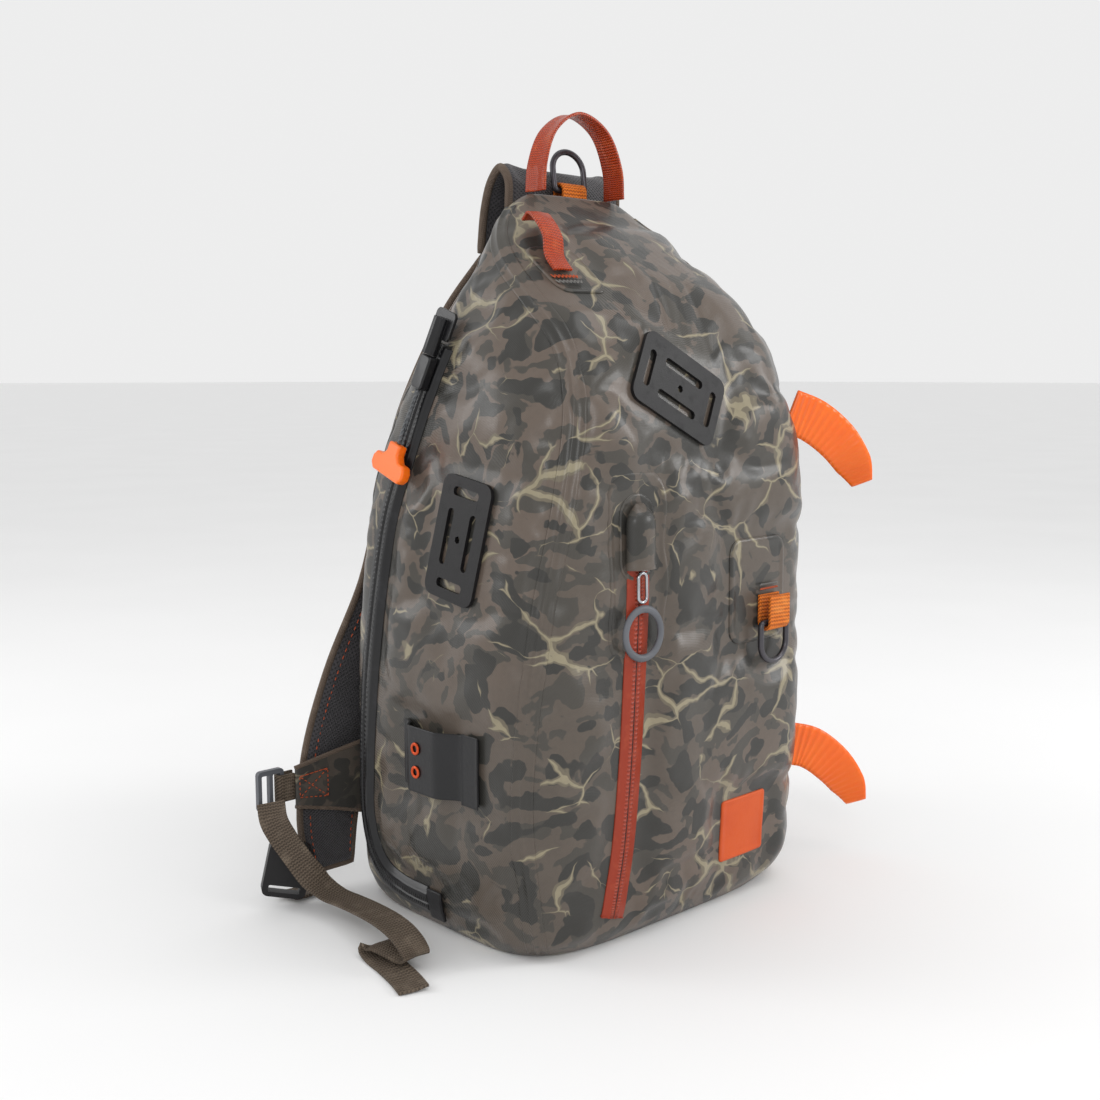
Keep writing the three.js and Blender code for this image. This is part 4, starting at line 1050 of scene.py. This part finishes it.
# Round bars and cords along a line of points.
def roundBar(name, points, radius, closed, paint, body, stands=(), sides=6, matrix=None):
    curve = bpy.data.curves.new(name, "CURVE")
    curve.dimensions = "3D"
    curve.bevel_depth = radius * unit
    curve.bevel_resolution = sides
    curve.use_fill_caps = not closed
    spline = curve.splines.new("POLY")
    spline.points.add(len(points) - 1)
    for spot, point in zip(points, spline.points):
        place = matrix @ Vector(spot) if matrix else Vector(spot)
        point.co = (*(place * unit), 1)
    spline.use_cyclic_u = closed
    made = bpy.data.objects.new(name + "_line", curve)
    bpy.context.scene.collection.objects.link(made)
    bpy.context.view_layer.update()
    ready = made.evaluated_get(bpy.context.evaluated_depsgraph_get())
    mesh = bpy.data.meshes.new_from_object(ready)
    bpy.data.objects.remove(made)
    bm = bmesh.new()
    bm.from_mesh(mesh)
    bmesh.ops.remove_doubles(bm, verts=bm.verts, dist=0.000001)
    uvs = bm.loops.layers.uv.get("along") or bm.loops.layers.uv.new("along")
    for face in bm.faces:
        for loop in face.loops:
            spot = loop.vert.co
            loop[uvs].uv = (spot.x + spot.y * 0.4, spot.z + spot.y * 0.6)
    bpy.data.meshes.remove(mesh)
    obj = makeObject(name, bm)
    dress(obj, paint, body, stands)
    return obj


def arcPoints(centreX, centreY, radiusX, radiusY, start, end, count):
    return [(centreX + radiusX * math.cos(math.radians(start + (end - start) * i / count)),
             centreY + radiusY * math.sin(math.radians(start + (end - start) * i / count)), 0)
            for i in range(count + 1)]


ring = {"width": 36, "height": 34, "bar": 5, "round": 2.25}


def dRingPoints():
    half = ring["width"] / 2 - ring["bar"] / 2
    low = -ring["height"] * 0.45
    deep = ring["height"] * 0.55 - ring["bar"]
    corner = 2.5
    points = [(-half + corner, 0, 0), (0, 0, 0), (half - corner, 0, 0), (half - 0.7, -0.7, 0),
              (half, -corner, 0)]
    points += arcPoints(0, low, half, deep, 0, -180, 20)
    return points + [(-half, -corner, 0), (-half + 0.7, -0.7, 0)]


def makeRings():
    frontOut = 0.8 + 0.9 + 0.3 + math.hypot(4.5, 5) / 2 + 0.3 + 1 + 1
    frontFrame = placedOnFace("front", 78, 208, frontOut)
    roundBar("front_ring_bar", dRingPoints(), ring["round"], True, paints["ring"], "front_ring",
             ["front_d_ring"], matrix=frontFrame)
    lean = math.radians(8)
    topFrame = placed(Vector((12, 210 * 0.067 + 18.5, 519)), Vector((0, -math.cos(lean), math.sin(lean))),
                      Vector((0, -math.sin(lean), -math.cos(lean))))
    roundBar("top_ring_bar", dRingPoints(), ring["round"], True, paints["ring"], "top_ring",
             ["top_d_ring"], matrix=topFrame)
    lift = 0.8 + 1.6 + 1.5
    pocketFrame = placedOnFace("front", -58, 266, lift)
    bailTop = -8.3
    points = arcPoints(0, bailTop - 4.5, 3.8, 3.2, 180, 0, 8)
    points += arcPoints(0, bailTop - 17.5, 3.8, 3.2, 0, -180, 8)
    points = [(x, y, 1.2) for x, y, z in points]
    roundBar("slider_bail_wire", points, 1.15, True, paints["wire"], "slider_bail",
             ["pocket_slider_bail"], matrix=pocketFrame)
    return pocketFrame


pocketFrame = makeRings()


# The pull ring: a flat band bent round, thicker at its crown.
def makePullRing():
    top = -8.3 - 22 - 0.3
    bm = bmesh.new()
    bmesh.ops.create_circle(bm, segments=14, radius=1.0)
    for vert in bm.verts:
        vert.co = Vector((16.3 + vert.co.x * 2.6, 0, vert.co.y * 1.75))
    bmesh.ops.spin(bm, geom=bm.edges[:] + bm.verts[:], cent=(0, 0, 0), axis=(0, 0, 1),
                   angle=2 * math.pi, steps=56, use_merge=True)
    bmesh.ops.remove_doubles(bm, verts=bm.verts, dist=0.01)
    for vert in bm.verts:
        spread = 1 + 0.25 * smoothStep(4, 16, -vert.co.y)
        vert.co.z = vert.co.z * spread * 0.95 + 1.8
        vert.co.y += top - 19
        vert.co = (pocketFrame @ vert.co) * unit
    obj = makeObject("pocket_pull_loop", bm)
    dress(obj, paints["grey"], "pull_ring", ["pocket_pull_ring"])


makePullRing()

# The main slider's cord: two strands twisted together.
pullCord = {"lead": 40, "radius": 1.35, "half": 1.15}


def mainSliderFrame():
    height = bag["height"]
    seat = onSection(seamAngle("zip", height * 0.752), height * 0.752)
    far = onSection(seamAngle("zip", height * 0.566), height * 0.566)
    normal = bagNormal(angleOf(seat), height * 0.752)
    return placed(seat + normal * 3.6, normal, (seat - far).normalized())


def makePullCord():
    matrix = mainSliderFrame()
    top = -12.3
    for index, side in enumerate((-1, 1)):
        points = []
        for i in range(41):
            share = i / 40
            sway = side * pullCord["half"] * math.cos(share * 2.2)
            points.append((sway, top - pullCord["lead"] * share, 3.5 + side * 0.5 * math.sin(share * 6)))
        stands = ["main_zip_pull_cord"] if index == 0 else []
        name = "pull_cord_strand_" + ("a" if side < 0 else "b")
        roundBar(name, points, pullCord["radius"], False, paints["cord"], "main_pull", stands,
                 4, matrix)


makePullCord()


# Webbing bands: a crowned strip given thickness, with its edges eased.
def band(name, points, directions, widths, thickness, paint, body, stands=(), columns=8, rows=80,
         crown=0.3):
    length, _ = routeLength(points, 100)
    bm = bmesh.new()
    place = stripPlace(points, directions, widths, lambda u, v: crown * math.cos(2 * math.pi * u))
    sheetGrid(bm, place, columns, rows, widths[0], length)
    obj = makeObject(name, bm)
    addSolidify(obj, thickness)
    addBevel(obj, 0.4)
    dress(obj, paint, body, stands)


# Many small stitches as one mesh: each is given by its two ends in millimetres.
def stitches(name, ends, paint, body, radius=0.45):
    bm = bmesh.new()
    for start, end in ends:
        start, end = Vector(start), Vector(end)
        run = end - start
        if run.length < 0.1:
            continue
        turn = run.to_track_quat("Z", "Y").to_matrix().to_4x4()
        size = Matrix.Diagonal((radius, radius, run.length / 2, 1))
        matrix = Matrix.Scale(unit, 4) @ Matrix.Translation((start + end) / 2) @ turn @ size
        bmesh.ops.create_icosphere(bm, subdivisions=1, radius=1.0, matrix=matrix)
    obj = makeObject(name, bm)
    dress(obj, paint, body)
    return obj


def dashed(points, length=2.6, gap=1.2):
    total, spots = routeLength([tuple(p) for p in points], 600)
    ends, run, start, inside = [], 0.0, spots[0], True
    for a, b in zip(spots, spots[1:]):
        run += (b - a).length
        if inside and run >= length:
            ends.append((start, b))
            run, inside = 0.0, False
        elif not inside and run >= gap:
            start, run, inside = b, 0.0, True
    return ends


handle = {"span": 78, "rise": 56, "width": 20, "thickness": 2}


def makeHandle():
    ridgeY = bag["depth"] * 0.067
    foot = bag["height"] + 1.1
    half, rise = handle["span"] / 2, handle["rise"]
    points = [(-half, ridgeY, foot), (-half * 0.95, ridgeY, foot + rise * 0.35),
              (-half * 0.68, ridgeY, foot + rise * 0.76), (-half * 0.08, ridgeY, foot + rise),
              (half * 0.6, ridgeY, foot + rise * 0.82), (half * 0.95, ridgeY, foot + rise * 0.38),
              (half, ridgeY, foot)]
    wide = handle["width"]
    widths = [wide, wide - 0.5, wide - 2, wide - 3, wide - 2, wide - 0.5, wide]
    band("handle_webbing", points, [(0, 1, 0)] * 7, widths, handle["thickness"], paints["rustWebbing"],
         "handle", ["grab_handle"], crown=0.5)


makeHandle()


def makeLashLoop():
    seat = 0.8 + 0.9 + 0.3 + 1
    low = onFace("front", -70, 450, seat + 2)
    after = onFace("front", -69.5, 458, seat + 4.2)
    high = onFace("front", -62, 486, seat + 2)
    points = [low.to_tuple(), after.to_tuple(), (-69, after.y + 5, after.z + 13.5),
              (-67, after.y + 16, after.z + 25.5), (-64, high.y - 6, high.z + 3.75), high.to_tuple()]
    band("lash_loop_webbing", points, [(1, 0, 0)] * 6, [17] * 6, 2, paints["rustWebbing"],
         "pack", ["lash_loop"], rows=50)
    for shift, paint, label in ((0.0, "orangeThread", "orange"), (-3.6, "greyThread", "grey")):
        ends = []
        for step in range(7):
            x = -78 + step * 2.3
            a = onFace("front", x, 449 + shift, 2.4)
            b = onFace("front", x + 1.15, 446.4 + shift, 2.4)
            c = onFace("front", x + 2.3, 449 + shift, 2.4)
            ends += [(a, b), (b, c)]
        stitches("loop_tack_" + label, ends, paints[paint], "pack", 0.5)


makeLashLoop()


def makeFrontRingTack():
    for shift, paint, label in ((0.0, "orangeThread", "orange"), (3.2, "greyThread", "grey")):
        ends = []
        for step in range(9):
            x = 67.5 + step * 2.35
            a = onFace("front", x, 231 + shift, 3.2)
            b = onFace("front", x + 1.2, 232.8 + shift, 3.2)
            c = onFace("front", x + 2.35, 231 + shift, 3.2)
            ends += [(a, b), (b, c)]
        stitches("ring_tack_" + label, ends, paints[paint], "pack", 0.5)


makeFrontRingTack()

rodStrap = {"width": 34, "thickness": 3.4, "reach": 58, "droop": 54, "ribs": 17}


def makeRodStrap(place, z):
    plan = rodStrap
    root = onFace("right", -70, z, 9.5)
    reach, droop, wide = plan["reach"], plan["droop"], plan["width"]
    points = [root.to_tuple(), (root.x + reach * 0.3, root.y - 9, z - droop * 0.1),
              (root.x + reach * 0.62, root.y - 18, z - droop * 0.38),
              (root.x + reach * 0.86, root.y - 24, z - droop * 0.72),
              (root.x + reach, root.y - 27, z - droop)]
    spreads = [(0, 0, 1), (0, -0.1, 1), (0, -0.2, 1), (0, -0.5, 1), (0.1, -0.8, 1)]
    widths = [wide, wide, wide * 0.96, wide * 0.84, wide * 0.5]
    ribs = plan["ribs"]
    rows = [(r + part) / ribs for r in range(ribs) for part in (0, 0.2, 0.35, 0.6, 0.75)] + [1]
    half = plan["thickness"] / 2 * 0.8
    bm = bmesh.new()
    length, _ = routeLength(points, 60)

    def ribLift(v):
        share = (v * ribs) % 1
        return 1.1 * (smoothStep(0.2, 0.35, share) - smoothStep(0.6, 0.75, share))

    def taper(u):
        return 1 - 0.35 * smoothStep(0.36, 0.5, abs(u - 0.5))

    for side in (-1, 1):
        outline = stripPlace(points, spreads, widths,
                             lambda u, v, s=side: s * (half * taper(u) + ribLift(v) * taper(u) * 0.5))
        sheetGrid(bm, outline, 10, rows, wide, length)
    edges = [edge for edge in bm.edges if edge.is_boundary]
    bmesh.ops.bridge_loops(bm, edges=edges)
    obj = makeObject("rod_tongue_" + place, bm)
    dress(obj, paints["rubber"], place + "_rod_strap", ["rod_strap_" + place])


makeRodStrap("upper", 355)
makeRodStrap("lower", 96)
print("webbing and straps made")

# The tool sleeve arches off the left side.
sleeve = {"back": 28, "front": -50, "middle": 127, "height": 46, "room": 9, "sheet": 1.8,
          "weld": 16, "eyelets": {"lower": 119, "upper": 135}}


def sleeveRise(y):
    return sleeve["room"] * smoothStep(-24, -11, -y) * smoothStep(-33, -14, y)


def makeSleeve():
    plan = sleeve

    def place(u, v):
        y = plan["back"] + (plan["front"] - plan["back"]) * u
        z = plan["middle"] + (v - 0.5) * (plan["height"] - 1)
        return onFace("left", y, z, 0.8 + sleeveRise(y) + plan["sheet"] / 2)

    bm = bmesh.new()
    sheetGrid(bm, place, 46, 16, plan["back"] - plan["front"], plan["height"])
    obj = makeObject("sleeve_flap", bm)
    addSolidify(obj, plan["sheet"])
    addBevel(obj, 0.5)
    dress(obj, paints["black"], "pack", ["tool_sleeve"])

    def weld(u, v):
        y = plan["front"] - 1 + plan["weld"] * (1 - u)
        z = plan["middle"] + (v - 0.5) * (plan["height"] + 2)
        ridge = 0.5 * (1 - smoothStep(0, 0.12, min(u, 1 - u)))
        return onFace("left", y, z, 3.3 + ridge)

    bm = bmesh.new()
    sheetGrid(bm, weld, 14, 12, plan["weld"], plan["height"])
    obj = makeObject("sleeve_weld_band", bm)
    addSolidify(obj, 0.7)
    addBevel(obj, 0.3)
    dress(obj, paints["black"], "pack", ["sleeve_weld_strip"])
    for name, z in plan["eyelets"].items():
        out = 0.8 + plan["room"] + plan["sheet"] + 0.3
        matrix = placedOnFace("left", 3, z, out)
        bm = bmesh.new()
        bmesh.ops.create_circle(bm, segments=12, radius=1.0)
        for vert in bm.verts:
            vert.co = Vector((3.3 + vert.co.x * 1.1, 0, 0.55 + vert.co.y * 0.8))
        bmesh.ops.spin(bm, geom=bm.edges[:] + bm.verts[:], cent=(0, 0, 0), axis=(0, 0, 1),
                       angle=2 * math.pi, steps=32, use_merge=True)
        bmesh.ops.remove_doubles(bm, verts=bm.verts, dist=0.01)
        for vert in bm.verts:
            vert.co = (matrix @ vert.co) * unit
        obj = makeObject("sleeve_eyelet_" + name, bm)
        dress(obj, paints["eyelet"], "pack", ["sleeve_grommet_" + name])


makeSleeve()


# The hood over the parked pocket slider.
hood = {"half": 12.3, "rise": 8.6, "length": 43}


def makeHood():
    lift = 0.8 + 1.6 + 0.3
    matrix = placedOnFace("front", -58, 259, lift)
    half, rise, length = hood["half"], hood["rise"], hood["length"]

    def place(u, v):
        angle = math.pi * (1 - u)
        close = math.sqrt(max(1 - smoothStep(0.62, 1.0, v) ** 2 * 0.999, 0))
        flare = 1 + 0.06 * smoothStep(0.15, 0, v)
        x = math.cos(angle) * half * (0.25 + 0.75 * close) * flare
        y = v * length
        z = math.sin(angle) * rise * close * flare + 0.1
        return matrix @ Vector((x, y, z))

    bm = bmesh.new()
    sheetGrid(bm, place, 24, 30, 30, length)
    obj = makeObject("pocket_zip_hood", bm)
    addSolidify(obj, 1.1, -1.0)
    addBevel(obj, 0.4)
    dress(obj, paints["river"], "pack", ["pocket_zip_garage"])


makeHood()
print("sleeve and hood made")

# Padded pieces: a crowned pad with a bound edge.
pad = {"pressure": 4.0, "slack": 0.02, "most": 2.2, "frames": 20, "shoulder": 7, "fill": 0.6}


def padBody(name, place, columns, rows, width, length, thickness, body, stands, crown):
    bm = bmesh.new()
    for side in (-1, 1):
        def shaped(u, v, s=side):
            edge = min(u, 1 - u) * width
            ends = min(v, 1 - v) * length
            full = min(1, edge / pad["shoulder"], ends / pad["shoulder"])
            rounding = math.sqrt(max(1 - (1 - full) ** 2, 0))
            half = thickness / 2 * (0.3 + 0.7 * rounding)
            return place(u, v, s * half * crown)
        sheetGrid(bm, shaped, columns, rows, width, length)
    bmesh.ops.bridge_loops(bm, edges=[edge for edge in bm.edges if edge.is_boundary])
    obj = makeObject(name, bm)
    mesh = obj.data
    before = [vert.co.copy() for vert in mesh.vertices]
    pins = {}
    for index in range(len(before)):
        local = index % ((columns + 1) * (rows + 1))
        column, row = local % (columns + 1), local // (columns + 1)
        if column in (0, columns) or row in (0, rows):
            pins[index] = 1.0
    after = swell(obj, pad, pins)
    for index, vert in enumerate(mesh.vertices):
        shift = after[index] - before[index]
        if shift.length > pad["most"] * unit:
            shift = shift.normalized() * pad["most"] * unit
        vert.co = before[index] + shift
    mesh.update()
    addSubdivision(obj, 1)
    dress(obj, paints["mesh"], body, stands)


def padPlace(points, directions, widths):
    route, spreads = vectors(points), vectors(directions)
    spans = [Vector((width, 0, 0)) for width in widths]

    def place(u, v, lift):
        ahead = throughPoints(route, min(v + 0.002, 1))
        tangent = (ahead - throughPoints(route, max(v - 0.002, 0))).normalized()
        across = throughPoints(spreads, v)
        across = (across - tangent * across.dot(tangent)).normalized()
        facing = tangent.cross(across)
        spot = throughPoints(route, v)
        return spot + across * (u - 0.5) * throughPoints(spans, v).x + facing * lift

    return place


yokePlan = {"width": 116, "thickness": 10, "top": 539, "centre": 18}  # centre is its place along x


def yokePoints():
    sew = 0.8 + 5 + 0.6
    x = yokePlan["centre"]
    low = onFace("back", x, bag["height"] * 0.865, sew)
    mid = onFace("back", x, bag["height"] * 0.92, sew + 1.5)
    end = (x, low.y + 19, bag["height"] * 0.93)
    depth, top = bag["depth"], yokePlan["top"]
    return [low.to_tuple(), mid.to_tuple(), (x, depth * 0.217, bag["height"] - 4),
            (x, depth * 0.22, top - 14), (x, depth * 0.26, top - 5), (x, depth * 0.31, top - 14),
            (x, depth * 0.345, bag["height"] - 6), end], end


# A round binding along all four edges of a pad.
def bindingOf(name, place, body, radius, steps=70, across=8):
    rim = [place(0, i / steps, 0) for i in range(steps + 1)]
    rim += [place(i / across, 1, 0) for i in range(1, across)]
    rim += [place(1, i / steps, 0) for i in range(steps, -1, -1)]
    rim += [place(i / across, 0, 0) for i in range(across - 1, 0, -1)]
    roundBar(name, rim, radius, True, paints["binding"], body)


def makeYoke():
    points, end = yokePoints()
    width = yokePlan["width"] - 6
    place = padPlace(points, [(1, 0, 0)] * len(points), [width] * len(points))
    length, _ = routeLength(points, 80)
    padBody("yoke_pad", place, 26, 44, width, length, yokePlan["thickness"] - 2, "pack", ["yoke"], 0.92)
    bindingOf("yoke_binding", place, "pack", 3.0)
    return end


yokeEnd = makeYoke()

strap = {"width": 60, "thickness": 10}


def makeStrap(name, side):
    back = bag["depth"] / 2 + 11 + 0.8 + 14
    hang = [(31, yokeEnd[1] + 3.5, yokeEnd[2] - 11.5), (44, yokeEnd[1] + 22, 424), (56, back - 7, 355),
            (66, back, 288), (85, back + 1, 221), (119, back, 155), (141, back - 2, 100), (149, back - 4, 55),
            (149, back - 6, 17)]
    drift = [18, 12.6, 5.4] + [0] * 6
    points = [(side * x + shift, y, z) for (x, y, z), shift in zip(hang, drift)]
    widths = [w - 5 for w in (52, 58, 60, 60, 60, 60, 58, 54, 42)]
    place = padPlace(points, [(side, 0, 0)] * len(points), widths)
    length, _ = routeLength(points, 80)
    padBody(name + "_strap_pad", place, 14, 92, 55, length, strap["thickness"] - 2, name + "_strap",
            [name + "_shoulder_strap"], 0.9)
    bindingOf(name + "_strap_binding", place, name + "_strap", 2.7)
    ends = []
    for edge in (0.12, 0.88):
        line = [place(edge, 0.02 + 0.96 * i / 60, -strap["thickness"] / 2 * 0.95) for i in range(61)]
        ends += dashed(line, 3.0, 1.6)
    stitches(name + "_strap_stitching", ends, paints["orangeThread"], name + "_strap", 0.5)


def makeWing(name, side):
    depth = bag["depth"] / 2 + 4
    root, reach, height = bag["width"] / 2 - 42, bag["width"] / 2 + 36, 86
    route = [(root, depth, height), (root + 24, depth + 2, height), (root + 46, depth + 7, height),
             (reach, depth + 11, height)]
    points = [(side * x, y, z) for x, y, z in route]
    place = stripPlace(points, [(0, 0, 1)] * 4, [62, 56, 45, 30])
    bm = bmesh.new()
    sheetGrid(bm, place, 12, 24, 50, 82)
    obj = makeObject(name + "_wing_panel", bm)
    addSolidify(obj, 2.4)
    addBevel(obj, 0.8, 3)
    # The wing panel wears the copy of the cloth darkened with painted shade.
    dress(obj, shadedRiver, "pack", [name + "_wing"])
    thick = padPlace(points, [(0, 0, 1)] * 4, [62, 56, 45, 30])
    edge = [thick(0.02, i / 30, 0) for i in range(31)]
    roundBar(name + "_wing_hem_low", edge, 1.7, False, paints["binding"], "pack")
    edge = [thick(0.98, i / 30, 0) for i in range(31)]
    roundBar(name + "_wing_hem_high", edge, 1.7, False, paints["binding"], "pack")
    ends = []
    for lift in (-1.7, 1.7):
        box = [(0.25, 0.74), (0.75, 0.74), (0.75, 0.97), (0.25, 0.97), (0.25, 0.74), (0.75, 0.97),
               (0.75, 0.74), (0.25, 0.97)]
        corners = [thick(u, v, lift) for u, v in box]
        for a, b in zip(corners, corners[1:]):
            run = (b - a).length
            count = max(int(run / 3.4), 2)
            for i in range(count):
                ends.append((a.lerp(b, i / count), a.lerp(b, (i + 0.7) / count)))
    stitches(name + "_wing_stitching", ends, paints["orangeThread"], "pack", 0.45)


def makeBuckleWebbing(name, side):
    x, y, foot = bag["width"] / 2 + 51, bag["depth"] / 2 + 13, 8.2
    low = 2.2
    route = [(x - 7, y + 6, foot - 3.4), (x - 14, y + 8, low + 0.6), (x - 26, y + 9, low),
             (x - 42, y + 9, low + 4)]
    points = [(side * a, b, c) for a, b, c in route]
    band(name + "_buckle_tab", points, [(0, 1, 0)] * 4, [20] * 4, 2, paints["brownWebbing"],
         name + "_strap", [name + "_buckle_webbing"], rows=24)


# A copy of the cloth darkened all over with painted shade, for the wings.
shadedRiver = riverPaint("riverbed_cloth_painted_shade", 0.45)
for name, side in (("left", -1), ("right", 1)):
    makeStrap(name, side)
    makeWing(name, side)
    makeBuckleWebbing(name, side)
print("harness made")


# The back pad has one upright channel and two level ones.
backPad = {
    "width": 168,
    "foot": 60,
    "height": 340,
    "thickness": 9.5,
    "out": 7.4,
    "channels": (170, 285),
    "channelDepth": 2.6,
    "channelHalf": 5,
}


def makeBackPad():
    plan = backPad

    def place(u, v, lift):
        x = plan["width"] * (0.5 - u)
        z = plan["foot"] + plan["height"] * v
        if lift > 0:
            away = [x] + [z - level for level in plan["channels"]]
            groove = plan["channelDepth"] * sum(math.exp(-((a / plan["channelHalf"]) ** 2)) for a in away)
            lift = max(lift - groove, 0.2)
        return onFace("back", x, z, plan["out"] + lift)

    padBody("back_padding", place, 40, 64, plan["width"], plan["height"], plan["thickness"], "pack",
            ["back_pad"], 1.0)
    bindingOf("back_pad_binding", place, "pack", 2.4)


makeBackPad()

for node in ("back_stiffener", "inner_slip_pocket", "front_pocket_liner"):
    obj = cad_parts[node]
    obj.data.materials.clear()
    obj.data.materials.append(paints["liner"])
print("inner pieces finished")

studio = {
    "floor": (0.9, 0.9, 0.9, 1),
    "floorGrain": (0.86, 0.86, 0.86, 1),
    "floorSize": 60.0,
    "world": 0.85,
    "lights": [
        ("key", (-1.3, -1.5, 1.0), 0.7, 7, (0, 0, 0.3)),
        ("fill", (1.45, -1.4, 0.95), 0.7, 10, (0, 0, 0.3)),
        ("rim", (-1.2, 1.2, 0.9), 0.8, 6, (0, 0, 0.3)),
        ("overhead", (0.3, -0.9, 1.8), 0.8, 5, (0, 0, 0.3)),
    ],
}


def makeStudio():
    bm = bmesh.new()
    bmesh.ops.create_grid(bm, x_segments=16, y_segments=16, size=studio["floorSize"])
    floor = makeObject("floor", bm)
    paint = Paint("floor_paper")
    grain = paint.noise(3.0, 2.0)
    floor.data.materials.append(paint.finish(
        colour=paint.blend(grain, studio["floor"], studio["floorGrain"]), rough=0.75, specular=0.2))
    world = bpy.data.worlds.new("studio")
    bpy.context.scene.world = world
    world.use_nodes = True
    backdrop = world.node_tree.nodes["Background"]
    backdrop.inputs["Color"].default_value = (1, 1, 1, 1)
    backdrop.inputs["Strength"].default_value = studio["world"]
    for name, place, size, power, target in studio["lights"]:
        data = bpy.data.lights.new(name, "AREA")
        data.shape = "DISK"
        data.size = size
        data.energy = power
        light = bpy.data.objects.new(name, data)
        bpy.context.scene.collection.objects.link(light)
        light.location = place
        light.rotation_euler = (Vector(target) - Vector(place)).to_track_quat("-Z", "Y").to_euler()
    bpy.context.scene.view_settings.view_transform = "Standard"


makeStudio()
print("studio lit")
